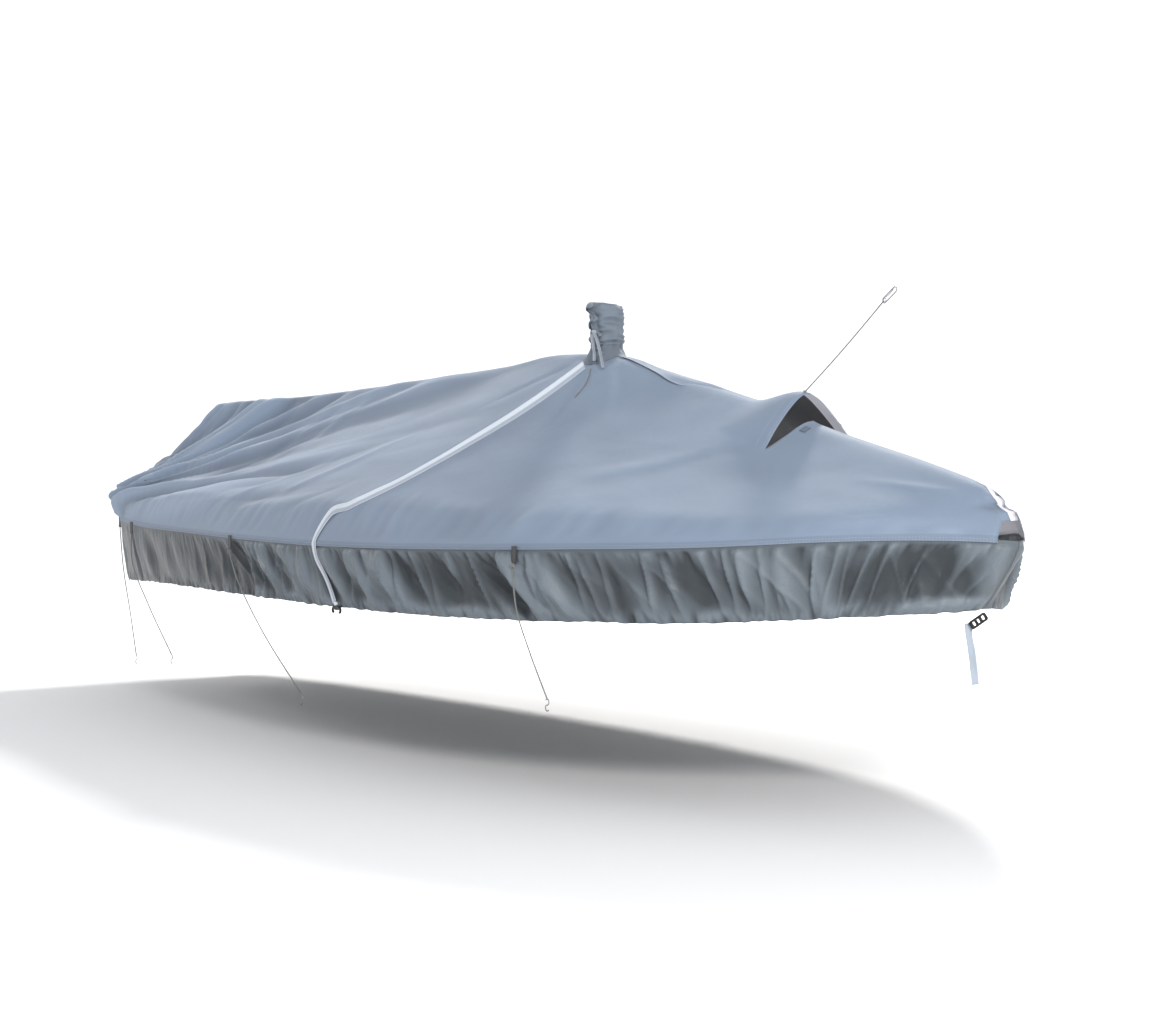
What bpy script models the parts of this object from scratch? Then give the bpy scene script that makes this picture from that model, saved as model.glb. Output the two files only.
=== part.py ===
"""Mast-up, over-the-boom cover for a 4.5 m sailing dinghy, in the shape in which it hangs when fitted.

Metres, +Z up, +X to the bow, +Y to port. The origin is on the mast's axis, just under the top's peak, where
the mast and boom hold the cloth up. Heights in the tables are above the gunwale's level amidships.
"""

import math

import bmesh
import bpy
import numpy as np
from mathutils import Vector
from mathutils.bvhtree import BVHTree

# Driving dimensions
PEAK_HEIGHT = 0.575
CLOTH = 0.003
WEBBING = 0.0016
WEBBING_WIDTH = 0.025
COLLAR_CLOTH = 0.002
SEAM_GAP = 0.001
CLEAR = 0.0008
SEAT = 0.0005
CORD = 0.004
TOP_FRONT_X = 1.688
PORT, STARBOARD = 1, -1

# The gunwale seam from the stem aft to the middle of the transom. shoulder_in and shoulder_up place the
# soft knee of the top above the seam; skirt_in and skirt_drop place the hem below it.
GUNWALE_COLUMNS = ("x", "y", "z", "shoulder_in", "shoulder_up", "skirt_in", "skirt_drop")
GUNWALE = (
    (1.717, 0.000, 0.052, 0.014, 0.050, 0.100, 0.170),
    (1.700, 0.030, 0.055, 0.014, 0.050, 0.085, 0.174),
    (1.640, 0.085, 0.058, 0.020, 0.048, 0.062, 0.182),
    (1.550, 0.172, 0.059, 0.034, 0.048, 0.048, 0.190),
    (1.400, 0.312, 0.053, 0.052, 0.050, 0.038, 0.195),
    (1.150, 0.492, 0.035, 0.070, 0.060, 0.032, 0.196),
    (0.750, 0.672, 0.019, 0.078, 0.075, 0.030, 0.196),
    (0.250, 0.775, 0.003, 0.076, 0.095, 0.030, 0.194),
    (-0.300, 0.806, -0.009, 0.072, 0.118, 0.030, 0.188),
    (-0.900, 0.788, -0.011, 0.074, 0.110, 0.032, 0.190),
    (-1.500, 0.736, -0.008, 0.072, 0.100, 0.036, 0.200),
    (-2.050, 0.660, -0.008, 0.050, 0.092, 0.040, 0.212),
    (-2.450, 0.572, -0.002, 0.006, 0.086, 0.040, 0.235),
    (-2.660, 0.505, 0.002, -0.040, 0.080, 0.034, 0.248),
    (-2.735, 0.455, 0.004, -0.060, 0.076, 0.030, 0.250),
    (-2.752, 0.300, 0.008, -0.040, 0.060, 0.028, 0.246),
    (-2.756, 0.000, 0.010, -0.034, 0.060, 0.026, 0.244),
)
CORNER_ROW = 14  # the row above where the side meets the transom
# The cross-section is smoothed over this many points, set this far apart, and eases back onto the seam over
# its last part.
SECTION_STEP, KNEE_WINDOW, SEAM_PART = 0.004, 19, 0.2

# The ridge: over the boom aft of the mast, down to the foredeck ahead of it. sag is how far the panel
# hangs below a straight line from ridge to shoulder.
RIDGE_COLUMNS = ("x", "z", "sag")
SAG_SKEW = 0.8  # below 1, the lowest place lies nearer the ridge
RIDGE = (
    (-2.830, 0.462, 0.052),
    (-2.700, 0.480, 0.050),
    (-2.300, 0.487, 0.042),
    (-1.700, 0.504, 0.034),
    (-1.100, 0.530, 0.028),
    (-0.550, 0.557, 0.024),
    (-0.120, 0.578, 0.018),
    (0.060, 0.567, 0.016),
    (0.300, 0.511, 0.016),
    (0.700, 0.423, 0.014),
    (1.100, 0.318, 0.012),
    (1.400, 0.248, 0.006),
    (1.600, 0.196, 0.000),
    (1.717, 0.160, 0.000),
)

# Long soft folds of the main panels, which fan out from the ear over each transom corner. ridge_x is where
# the fold's line would meet the ridge, angle its half width seen from the ear.
FOLD_COLUMNS = ("ridge_x", "rise", "angle", "far")
FOLDS = {
    STARBOARD: (
        (-2.70, 0.012, 0.16, 0.60),
        (-2.46, -0.016, 0.10, 0.75),
        (-2.24, 0.020, 0.10, 0.95),
        (-2.00, -0.022, 0.065, 1.20),
        (-1.80, 0.016, 0.045, 1.40),
        (-1.60, -0.014, 0.035, 1.60),
        (-1.32, 0.015, 0.035, 1.80),
        (-1.02, -0.013, 0.028, 1.90),
        (-0.66, 0.013, 0.028, 2.00),
        (-0.10, -0.010, 0.030, 1.90),
    ),
    PORT: (
        (-2.64, -0.012, 0.16, 0.60),
        (-2.36, 0.018, 0.11, 0.85),
        (-2.08, -0.019, 0.08, 1.10),
        (-1.82, 0.015, 0.05, 1.30),
        (-1.50, -0.015, 0.045, 1.60),
        (-1.15, 0.014, 0.035, 1.80),
        (-0.70, -0.012, 0.03, 1.90),
        (-0.05, 0.011, 0.03, 1.80),
    ),
}
EAR = (-2.90, 0.56)
FOLD_STARTS, FOLD_GROWS, FOLD_FADES = 0.12, 0.5, 0.7
# The folds die out at the ridge, and over this part of each line above the seam.
RIDGE_TAUT, SHOULDER_TAUT = 0.08, (0.80, 0.98)
# At the stern each line of the panel bows aft, most at the ridge.
STERN_BOW, STERN_BOW_AT_SEAM, STERN_BOW_REACH = 0.10, 0.065, 0.45

# Folds of the skirt by distance aft of the stem along the seam. pitch is crest to crest, lean how far
# forward a fold's foot lies of its head.
SKIRT_COLUMNS = ("start", "pitch", "depth", "lean")
SKIRT_FOLDS = (
    (0.00, 0.080, 0.008, 0.00),
    (0.32, 0.105, 0.013, 0.06),
    (0.80, 0.120, 0.018, 0.12),
    (1.60, 0.155, 0.025, 0.16),
    (2.75, 0.140, 0.023, 0.14),
    (4.10, 0.120, 0.018, 0.04),
    (4.60, 0.140, 0.014, 0.00),
)
ENDS_TURN_AT = (-2.30, 1.20)
SKIRT_ROWS = ((0.0, 0.0), (0.18, 0.65), (0.52, 1.0), (0.87, 0.75), (1.0, 0.35))
SKIRT_END_FLAT, SKIRT_AFT_FLAT = 0.05, 0.07  # no folds in the last stretch at the stem and the transom
FULL_TUCK, TUCK_GAP = 0.06, 0.0024
HEM_TUCK_POWER = 1.3

# The aft panel: number and depth of its folds, and its hollow, as shares of its width
AFT_FOLDS, AFT_FOLD, AFT_HOLLOW = 5, 0.012, 0.03

# Openings and fittings
MAST_HOLE = 0.056
NOTCH_X, NOTCH_HALF = 1.600, 0.030
NOTCH_EASE = 0.03
MOUTH_X, MOUTH_HALF, HOOD_RISE, HOOD_START = 0.945, 0.150, 0.060, 0.700
LOWER_LIP = 0.012  # how far the mouth's lower lip lies forward of the hood's

# Rows of the top's grid: distances from the ridge, their largest shares of a line, and the numbers of rows
# from there down to the shoulder and over it.
ROWS_NEAR, ROWS_NEAR_AT_MOST = (0.0, 0.036, 0.086, 1.12 * MOUTH_HALF), (0.0, 0.12, 0.24, 0.38)
SHOULDER_LENGTH, SHOULDER_AT_LEAST, ROWS_BETWEEN, ROWS_SHOULDER = 0.17, 0.60, 6, 4

# The collar. Foot rows: radius, and share of the rise from the top's surface to the waist. Sleeve rows:
# radius, height, depth of the pleats, wave of the row, bearing of the slit, which twists round the sleeve.
COLLAR_WAIST, COLLAR_PLEATS = 0.590, 7
COLLAR_SLIT_GAP, COLLAR_LIP, COLLAR_LIP_LEAST, COLLAR_COLUMNS = 0.007, 0.015, 0.004, 26
COLLAR_FOOT = ((0.073, 0.0), (0.064, 0.22), (0.053, 0.68))
COLLAR_SLEEVE = (
    (0.046, 0.590, 0.05, 0.001, -62),
    (0.052, 0.606, 0.04, 0.003, -64),
    (0.049, 0.632, 0.03, 0.002, -69),
    (0.051, 0.668, 0.02, 0.003, -80),
    (0.049, 0.696, 0.03, 0.003, -92),
    (0.053, 0.717, 0.06, 0.005, -99),
)
COLLAR_KNOT_AT, COLLAR_KNOT = (0.0309, -0.0685, 0.627), 0.018
TAPE_FACING = math.radians(-42)
TAPE_WIDTH = 0.010
COLLAR_TAPES = {
    "aft": (
        (0.0285, -0.0765, 0.6198), (0.042, -0.0815, 0.600),
        (0.050, -0.0815, 0.566), (0.0555, -0.0835, 0.538),
    ),
    "fore": (
        (0.0375, -0.0705, 0.6208), (0.0545, -0.0735, 0.600),
        (0.0715, -0.0745, 0.565), (0.102, -0.084, 0.516),
    ),
}
COLLAR_CORD = (
    (0.040, -0.086, 0.512), (0.056, -0.100, 0.500),
    (0.098, -0.148, 0.458), (0.115, -0.193, 0.424),
)

# The flap over the ridge opening: its lower edge to starboard, its upper edge to port.
FLAP_COLUMNS = ("x", "low", "high")
FLAP = (
    (0.079, -0.010, 0.030),
    (0.120, -0.012, 0.030),
    (0.290, -0.032, 0.031),
    (0.430, -0.052, 0.032),
    (0.590, -0.076, 0.040),
    (0.750, -0.092, 0.070),
    (0.936, -0.136, 0.130),
)
FLAP_LIFT, FLAP_RIDGE_CLEAR = 0.004, 0.0018
HOOD_CLEAR, HOOD_CLEAR_REACH = 0.0030, 0.06
PATCH_X, PATCH_Y = (0.972, 0.994), (-0.054, -0.043, -0.032)

# Side strap, starboard: x, y, height above the gunwale.
HEART_HEIGHT = 0.10
CHECKS_BETWEEN = 10
STRAP_ROUTE = (
    (0.006, -0.086, 0.511),
    (-0.030, -0.220, 0.421),
    (-0.086, -0.400, 0.306),
    (-0.140, -0.560, 0.209),
    (-0.195, -0.670, 0.145),
    (-0.265, -0.732, 0.105),
    (-0.345, -0.757, 0.083),
    (-0.372, -0.785, 0.042),
    (-0.376, -0.812, 0.000),
    (-0.362, -0.818, -0.040),
    (-0.320, -0.800, -0.110),
    (-0.285, -0.775, -0.178),
)
STRAP_POINTS, STRAP_CLEAR = 48, 0.0030
# Above the shoulder the strap stands partly on its fore edge: how steeply at the collar, and the shares of
# its length between which it comes to lie flat.
STRAP_LEAN, LEAN_ENDS = math.radians(60), (0.25, 0.62)
STRAP_KNOT, KNOT_DROP, KNOT_OUT = 0.016, 0.0053, 0.0068
PLATE_THICKNESS, PLATE_DROP = 0.006, (0.004, 0.0, -0.0181)
# Half the double hook's outline, from the middle of its upper edge round the hook to its lower edge.
PLATE_HALF = (
    (0.0, 0.011), (0.011, 0.011), (0.024, 0.006), (0.028, -0.002), (0.024, -0.010), (0.017, -0.011),
    (0.016, -0.007), (0.021, -0.004), (0.018, 0.001), (0.010, -0.001), (0.0, -0.002),
)

# Webbing loops on the seam, by name and x. Profile: depth below the seam, distance off the cloth.
LOOPS = (("waist", 0.605), ("quarter", -1.020), ("bridle", -2.250), ("corner", -2.715))
LOOP_WIDTH = 0.020
LOOP_PROFILE = ((-0.003, 0.0), (0.040, 0.0), (0.043, 0.002), (0.040, 0.004), (-0.003, 0.004))

# Cords: x, y, height above the gunwale.
HOOK_WIRE, HOOK_SIZE, HOOK_RISE = 0.003, 0.016, 0.0024
TIE_HOOK_DROPS = {"waist": 0.0026, "quarter": 0.0030, "bridle": 0.0027, "corner": 0.0021}
TIE_CORDS = {
    "waist": (
        (0.6055, -0.7270, -0.0415), (0.640, -0.735, -0.150),
        (0.668, -0.712, -0.260), (0.700, -0.680, -0.378),
    ),
    "quarter": (
        (-1.0150, -0.7900, -0.0680), (-0.900, -0.812, -0.155),
        (-0.800, -0.780, -0.300), (-0.680, -0.700, -0.500),
    ),
    "bridle": (
        (-2.2505, -0.6285, -0.0494), (-2.215, -0.640, -0.150),
        (-2.170, -0.600, -0.300), (-2.105, -0.530, -0.500),
    ),
    "corner": (
        (-2.7155, -0.4878, -0.0404), (-2.728, -0.470, -0.200),
        (-2.726, -0.440, -0.400), (-2.720, -0.420, -0.560),
    ),
}
TIE_KNOTS = (
    ("waist", (0.605, -0.7265, -0.0345), 0.016),
    ("quarter", (-1.020, -0.7890, -0.0611), 0.018),
)
SHORT_TIE = ((-1.312, -0.772, -0.050), (-1.300, -0.778, -0.110), (-1.287, -0.772, -0.190))
HOOD_CORD = 0.003
HOOD_LINE = ((0.9357, 0.0, 0.4289), (1.040, 0.0, 0.503), (1.145, 0.0, 0.580), (1.2355, 0.0, 0.6484))
HOOD_KNOT_AT, HOOD_KNOT = (0.931, 0.0, 0.4256), 0.012
SNAP_HOOK, SNAP_HOOK_WIDTH = ((1.237, 0.0, 0.6495), (1.287, 0.0, 0.682)), 0.014

# The buckle under the stem and its tail
BUCKLE_AT, BUCKLE_SIZE, BUCKLE_ROUNDING = (1.605, -0.024, -0.1455), (0.052, 0.012, 0.026), 0.003
BUCKLE_TILT, BUCKLE_TURN = -35.0, -20.0
BOW_TAIL_WIDTH = 0.019
BOW_TAIL = (
    (1.578, -0.030, -0.160), (1.582, -0.031, -0.185),
    (1.590, -0.031, -0.216), (1.603, -0.030, -0.300),
)


def column(table, columns, name):
    return np.array([row[columns.index(name)] for row in table])


def through(knots, values, at):
    """A smooth curve through the knots (Catmull-Rom slopes), read at the given places."""
    knots, values = np.asarray(knots, float), np.asarray(values, float)
    if knots[0] > knots[-1]:
        knots, values = knots[::-1], values[::-1]
    slopes = np.gradient(values, knots)
    at = np.clip(at, knots[0], knots[-1])
    i = np.clip(np.searchsorted(knots, at) - 1, 0, len(knots) - 2)
    step = knots[i + 1] - knots[i]
    t = (at - knots[i]) / step
    return (
        (1 + 2 * t) * (1 - t) ** 2 * values[i]
        + t * (1 - t) ** 2 * step * slopes[i]
        + t * t * (3 - 2 * t) * values[i + 1]
        + t * t * (t - 1) * step * slopes[i + 1]
    )


def ease(t):
    t = np.clip(t, 0.0, 1.0)
    return t * t * (3 - 2 * t)


def run_along(points):
    """Distance along a row of points, from 0."""
    steps = np.linalg.norm(np.diff(points, axis=0), axis=1)
    return np.concatenate([[0.0], np.cumsum(steps)])


GUNWALE_RUN = run_along(np.array(GUNWALE)[:, :2])
CORNER_RUN = GUNWALE_RUN[CORNER_ROW]


def gunwale(name, run):
    return through(GUNWALE_RUN, column(GUNWALE, GUNWALE_COLUMNS, name), run)


def ridge(name, x):
    return through(column(RIDGE, RIDGE_COLUMNS, "x"), column(RIDGE, RIDGE_COLUMNS, name), x)


def section(run):
    """Half the top's cross-section at one place on the seam: even points from ridge to seam, in (y, z)."""
    x, y, z = (float(gunwale(name, run)) for name in "xyz")
    knee = np.array([y - gunwale("shoulder_in", run), z + gunwale("shoulder_up", run)])
    top, seam = np.array([0.0, ridge("z", x)]), np.array([y, z])
    part = np.linspace(0, 1, 120)[:, None]
    panel = top + part * (knee - top)
    panel[:, 1] -= ridge("sag", x) * np.sin(np.pi * part[:, 0] ** SAG_SKEW)
    past = seam + 0.5 * (seam - knee)
    half = np.concatenate([panel, knee + part[1:] * (past - knee)])
    whole = np.concatenate([half[:0:-1] * (-1, 1), half])
    run_whole = run_along(whole)
    even = np.arange(0, run_whole[-1], SECTION_STEP)
    line = np.stack([np.interp(even, run_whole, whole[:, k]) for k in (0, 1)], 1)
    window = np.hanning(KNEE_WINDOW)[1:-1]
    soft = np.stack([np.convolve(line[:, k], window / window.sum(), "same") for k in (0, 1)], 1)
    middle = run_whole[-1] / 2
    length = run_along(half)[-1] - 0.5 * np.linalg.norm(seam - knee)
    keep = (even >= middle) & (even <= middle + length)
    soft = soft[keep]
    soft[0, 0] = 0.0
    # The smoothing moves the seam a little, so the last stretch eases back onto it.
    along = run_along(soft)
    soft += ease((along / along[-1] - 1) / SEAM_PART + 1)[:, None] * (seam - soft[-1])
    return soft


def inner_edge(x):
    """Half width of the opening at the ridge: the mast hole and the notch at the bow."""
    if abs(x) < MAST_HOLE:
        return math.sqrt(MAST_HOLE**2 - x * x)
    return NOTCH_HALF * float(ease((x - NOTCH_X) / NOTCH_EASE)) ** 0.5


def fold_rise(side, x, y):
    """How far the cloth stands proud of the smooth panel, from its folds."""
    reach = np.hypot(x - EAR[0], EAR[1] - y)
    angle = np.arctan2(EAR[1] - y, x - EAR[0])
    rise = np.zeros_like(reach)
    for ridge_x, height, width, far in FOLDS[side]:
        at = math.atan2(EAR[1], ridge_x - EAR[0])
        fade = ease((reach - FOLD_STARTS) / FOLD_GROWS) * (1 - ease((reach - far) / FOLD_FADES))
        rise += height * np.exp(-(((angle - at) / width) ** 2)) * fade
    return rise


def row_places(length):
    """Shares of a section's length at which the rows of the grid lie: close together at the ridge, where
    the hood's mouth ends on a row, and over the shoulder."""
    near = np.minimum(np.array(ROWS_NEAR) / length, ROWS_NEAR_AT_MOST)
    shoulder = max(SHOULDER_AT_LEAST, 1 - SHOULDER_LENGTH / length)
    between = np.linspace(near[-1], shoulder, ROWS_BETWEEN + 1)[1:]
    return np.concatenate([near, between, np.linspace(shoulder, 1, ROWS_SHOULDER + 1)[1:]])


def station(side, run, hood=0.0):
    """One line of the top's grid from ridge to seam, as points in space. hood is the rise of the vent."""
    x = float(gunwale("x", run))
    line = section(run)
    along = run_along(line)
    first = np.interp(inner_edge(x), line[:, 0], along) if inner_edge(x) else 0.0
    at = first + row_places(along[-1] - first) * (along[-1] - first)
    y, z = (np.interp(at, along, line[:, k]) for k in (0, 1))
    slope = np.stack([np.gradient(y, at), np.gradient(z, at)], 1)
    share = at / along[-1]
    start, end = SHOULDER_TAUT
    slack = 1 - ease((share - start) / (end - start))
    rise = fold_rise(side, np.full(len(y), x), y) * ease(at / RIDGE_TAUT) * slack
    y, z = y - rise * slope[:, 1], z + rise * slope[:, 0]
    z = z + hood * (1 - np.clip(y / MOUTH_HALF, 0, 1) ** 2)
    # At the stern the line bows aft to the boom end and to the ear over the transom corner.
    aft = 1 - ease((x - gunwale("x", CORNER_RUN)) / STERN_BOW_REACH)
    bow = STERN_BOW + (STERN_BOW_AT_SEAM - STERN_BOW) * share
    x_line = x - aft * bow * (1 - ease((share - start) / (1 - start)))
    y = np.maximum(y, SEAM_GAP / 2)
    return np.stack([x_line, side * y, z - PEAK_HEIGHT], 1)


def shift(points, offset):
    return points + np.asarray(offset)


# Materials and objects
def material(name, colour, roughness, metallic=0.0):
    made = bpy.data.materials.new(name)
    made.use_nodes = True
    shader = made.node_tree.nodes["Principled BSDF"]
    shader.inputs["Base Color"].default_value = (*colour, 1.0)
    shader.inputs["Roughness"].default_value = roughness
    shader.inputs["Metallic"].default_value = metallic
    return made


def add(name, data, finish):
    made = bpy.data.objects.new(name, data)
    COVER.objects.link(made)
    data.materials.append(finish)
    return made


def grid_mesh(name, grids):
    """One open surface from grids of points (line, row, xyz) that share some of their points."""
    shell = bmesh.new()
    for grid in grids:
        corners = [[shell.verts.new(p) for p in line] for line in grid]
        for a, b in zip(corners, corners[1:]):
            for k in range(len(a) - 1):
                shell.faces.new((a[k], a[k + 1], b[k + 1], b[k]))
    bmesh.ops.remove_doubles(shell, verts=shell.verts, dist=0.00002)
    bmesh.ops.dissolve_degenerate(shell, edges=shell.edges, dist=0.00002)
    mesh = bpy.data.meshes.new(name)
    shell.to_mesh(mesh)
    shell.free()
    return mesh


def cloth(name, grids, thickness, finish, turned):
    """A sheet of cloth: the surface that lies on what is under it, thickened outwards."""
    made = add(name, grid_mesh(name, grids), finish)
    if turned:
        made.data.flip_normals()
    made.data.shade_smooth()
    wall = made.modifiers.new("Thickness", "SOLIDIFY")
    wall.thickness = thickness
    wall.offset = 1.0
    wall.use_even_offset = False
    return made


def tube(name, points, diameter, finish, round_steps=2):
    data = bpy.data.curves.new(name, "CURVE")
    data.dimensions = "3D"
    data.bevel_depth = diameter / 2
    data.bevel_resolution = round_steps
    data.use_fill_caps = True
    line = data.splines.new("POLY")
    line.points.add(len(points) - 1)
    for point, place in zip(line.points, points):
        point.co = (*place, 1.0)
    return add(name, data, finish)


def route(points, count):
    """Evenly spaced points on a smooth curve through a cord's own points."""
    points = np.asarray(points, float)
    along = run_along(points)
    fine = np.linspace(0, along[-1], 20 * count)
    dense = np.stack([through(along, points[:, k], fine) for k in range(3)], 1)
    even = np.linspace(0, run_along(dense)[-1], count)
    return np.stack([np.interp(even, run_along(dense), dense[:, k]) for k in range(3)], 1)


def clear_scene():
    for thing in list(bpy.data.objects):
        bpy.data.objects.remove(thing)


clear_scene()
COVER = bpy.data.collections.new("Boat cover")
bpy.context.scene.collection.children.link(COVER)
TOP_CLOTH = material("top cloth", (0.42, 0.47, 0.53), 0.75)
SKIRT_CLOTH = material("skirt cloth", (0.13, 0.14, 0.15), 0.55)
PALE_WEBBING = material("pale webbing", (0.62, 0.67, 0.74), 0.7)
DARK_WEBBING = material("dark webbing", (0.05, 0.055, 0.06), 0.7)
BLACK_PLASTIC = material("black plastic", (0.01, 0.01, 0.012), 0.4)
PATCH_CLOTH = material("patch cloth", (0.20, 0.22, 0.25), 0.8)
PALE_CORD = material("pale cord", (0.70, 0.70, 0.68), 0.8)
STEEL = material("steel", (0.55, 0.56, 0.58), 0.3, 1.0)


# The two main panels
def side_name(side):
    return "starboard" if side == STARBOARD else "port"


def run_at(x):
    runs = np.linspace(0, CORNER_RUN, 2000)
    return float(np.interp(-x, -gunwale("x", runs), runs))


def main_panel(side):
    after_x = np.concatenate(
        [
            np.linspace(MOUTH_X, 0.10, 9),
            [MAST_HOLE, 0.040, 0.0, -0.040, -MAST_HOLE],
            np.linspace(-0.12, -1.20, 10),
            np.linspace(-1.20, -2.66, 19)[1:],
            [-2.70],
        ]
    )
    fore_x = [*np.linspace(MOUTH_X, NOTCH_X, 8), NOTCH_X + 0.008, NOTCH_X + NOTCH_EASE, 1.665, TOP_FRONT_X]
    aft = []
    for x in after_x:
        hood = HOOD_RISE * float(ease((x - HOOD_START) / (MOUTH_X - HOOD_START))) if x > HOOD_START else 0.0
        aft.append(station(side, run_at(x), hood))
    aft.append(station(side, CORNER_RUN))
    fore = [station(side, run_at(x)) for x in fore_x]
    # The lower lip of the mouth lies a little forward of the hood's lip.
    lip = 1 - np.clip(np.abs(fore[0][:, 1]) / MOUTH_HALF, 0, 1) ** 2
    fore[0][:, 0] += LOWER_LIP * lip
    grids = [aft, fore[::-1]]
    return cloth(f"top_{side_name(side)}", grids, CLOTH, TOP_CLOTH, side == STARBOARD)


# The triangular panel under the boom end
def aft_panel():
    near, far = station(STARBOARD, CORNER_RUN), station(PORT, CORNER_RUN)
    near, far = shift(near, (-SEAM_GAP, 0, 0)), shift(far, (-SEAM_GAP, 0, 0))
    lines = []
    for share in np.linspace(0, 1, 13):
        line = near + share * (far - near)
        across = 4 * share * (1 - share)
        width = np.abs(far[:, 1] - near[:, 1])
        folds = AFT_FOLD * np.sin(share * math.pi * AFT_FOLDS) * np.sin(share * math.pi)
        line[:, 0] += np.minimum(width, 0.5) * (AFT_HOLLOW * across + folds)
        lines.append(line)
    return cloth("top_aft", [lines], CLOTH, TOP_CLOTH, True)


# The skirt
def skirt_drop_gap(run):
    """The seam opens a little where the top tucks under, so that the two edges stay apart."""
    tuck = np.clip(-gunwale("shoulder_in", run) / FULL_TUCK, 0, 1)
    return SEAM_GAP + TUCK_GAP * tuck


def skirt_runs():
    starts = column(SKIRT_FOLDS, SKIRT_COLUMNS, "start")
    ends = [*starts[1:], GUNWALE_RUN[-1]]
    runs = [0.0]
    for (start, pitch, _, _), end in zip(SKIRT_FOLDS, ends):
        count = max(2, round((end - start) / (pitch / 2)))
        runs += list(np.linspace(start, end, count + 1)[1:])
    return np.array(runs)


def uneven(k):
    """A fixed, unequal weight for the k-th fold, between 0.35 and 1."""
    return 0.675 + 0.325 * math.sin(12.9 * k + 4.1 * math.sin(1.7 * k))


def skirt(side):
    starts = column(SKIRT_FOLDS, SKIRT_COLUMNS, "start")
    runs = skirt_runs()
    lines = []
    for k, run in enumerate(runs):
        depth = np.interp(run, starts, column(SKIRT_FOLDS, SKIRT_COLUMNS, "depth"))
        lean = np.interp(run, starts, column(SKIRT_FOLDS, SKIRT_COLUMNS, "lean"))
        ends = float(ease(run / SKIRT_END_FLAT) * ease((runs[-1] - run - SKIRT_AFT_FLAT) / SKIRT_END_FLAT))
        crest = (1 if (k + (side == PORT)) % 2 else -1) * uneven(k + 7 * side) * depth * ends
        line = []
        for down, share in SKIRT_ROWS:
            at = np.clip(run - lean * down * ends, 0, runs[-1])
            x, y, z = (gunwale(name, at) for name in "xyz")
            # Outward is away from the boat's middle line amidships, and away from a point on it at the ends.
            outward = np.array([x - np.clip(x, *ENDS_TURN_AT), y])
            outward /= np.linalg.norm(outward)
            tuck = gunwale("skirt_in", at) * down**HEM_TUCK_POWER
            x, y = np.array([x, y]) + outward * (share * crest - tuck)
            low = z - gunwale("skirt_drop", at) * down - skirt_drop_gap(at) * (1 - down)
            line.append((x, side * max(y, SEAM_GAP / 2), low - PEAK_HEIGHT))
        lines.append(np.array(line))
    return cloth(f"skirt_{side_name(side)}", [lines], CLOTH, SKIRT_CLOTH, side == STARBOARD)


PANELS = {side: main_panel(side) for side in (STARBOARD, PORT)}
AFT_PANEL = aft_panel()
SKIRTS = {side: skirt(side) for side in (STARBOARD, PORT)}


# What the fittings lie on, and how they are laid on it
def faces_of(*pieces):
    """The finished faces of the given objects, to lay other pieces on."""
    graph = bpy.context.evaluated_depsgraph_get()
    shell = bmesh.new()
    for piece in pieces:
        shell.from_mesh(piece.evaluated_get(graph).data)
    tree = BVHTree.FromBMesh(shell)
    shell.free()
    return tree


def heart(point):
    """The point inside the cover that a place on it is laid out from."""
    return np.array([point[0], 0.0, HEART_HEIGHT - PEAK_HEIGHT])


def outward(point):
    away = np.asarray(point) - heart(point)
    return away / np.linalg.norm(away)


def reach(tree, point):
    """Distance from the heart to the tree's outer face, through the given point."""
    start = heart(point) + 2.0 * outward(point)
    hit = tree.ray_cast(Vector(start), Vector(-outward(point)))[0]
    return 0.0 if hit is None else float(np.linalg.norm(np.array(hit) - heart(point)))


def laid(tree, edge, clear=CLEAR, passes=60):
    """A taut strap's lines of points (line, place, xyz), moved onto the tree's outer face. It spans the
    hollows, and nothing pokes through it between its points."""
    flat = edge.reshape(-1, 3)
    out = np.array([outward(p) for p in flat]).reshape(edge.shape)
    inner = np.array([heart(p) for p in flat]).reshape(edge.shape)
    least = np.array([reach(tree, p) for p in flat]).reshape(edge.shape[:2]) + clear
    far = least.copy()
    for _ in range(passes):
        place = inner + far[..., None] * out
        middle = (place[:, :-2] + place[:, 2:]) / 2
        far[:, 1:-1] = np.maximum(far[:, 1:-1], ((middle - inner[:, 1:-1]) * out[:, 1:-1]).sum(2))
    for _ in range(CHECKS_BETWEEN):
        place = inner + far[..., None] * out
        raised = far.copy()
        for k in range(edge.shape[1] - 1):
            for share in (0.0, 0.33, 0.67):
                along = place[:, k] + share * (place[:, k + 1] - place[:, k])
                for point in (*along, along.mean(0)):
                    lack = reach(tree, point) + clear - np.linalg.norm(point - heart(point))
                    higher = far[:, k : k + 2] + max(lack, 0.0)
                    raised[:, k : k + 2] = np.maximum(raised[:, k : k + 2], higher)
        far = raised
    return inner + far[..., None] * out


def tangents(points):
    along = np.gradient(points, axis=0)
    return along / np.linalg.norm(along, axis=1)[:, None]


def edges(points, width, out=None):
    """The two edges of a strap along a line of points, square to its outward direction."""
    out = np.array([outward(p) for p in points]) if out is None else out
    across = np.cross(tangents(points), out)
    across /= np.linalg.norm(across, axis=1)[:, None]
    return points - across * width / 2, points + across * width / 2


def strip(name, near, far, thickness, finish):
    """A flat strap between its two edges."""
    return cloth(name, [np.stack([near, far], 1)], thickness, finish, False)


def from_gunwale(rows):
    """Table places, whose heights are above the gunwale, as places in the part's frame."""
    return np.array(rows, float) - (0, 0, PEAK_HEIGHT)


def mirrored(points, side):
    """Places given for the starboard side, moved to the given side."""
    return np.asarray(points) * (1, -side, 1)


ON_TOP = faces_of(*PANELS.values(), AFT_PANEL)
ON_COVER = faces_of(*PANELS.values(), AFT_PANEL, *SKIRTS.values())


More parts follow.
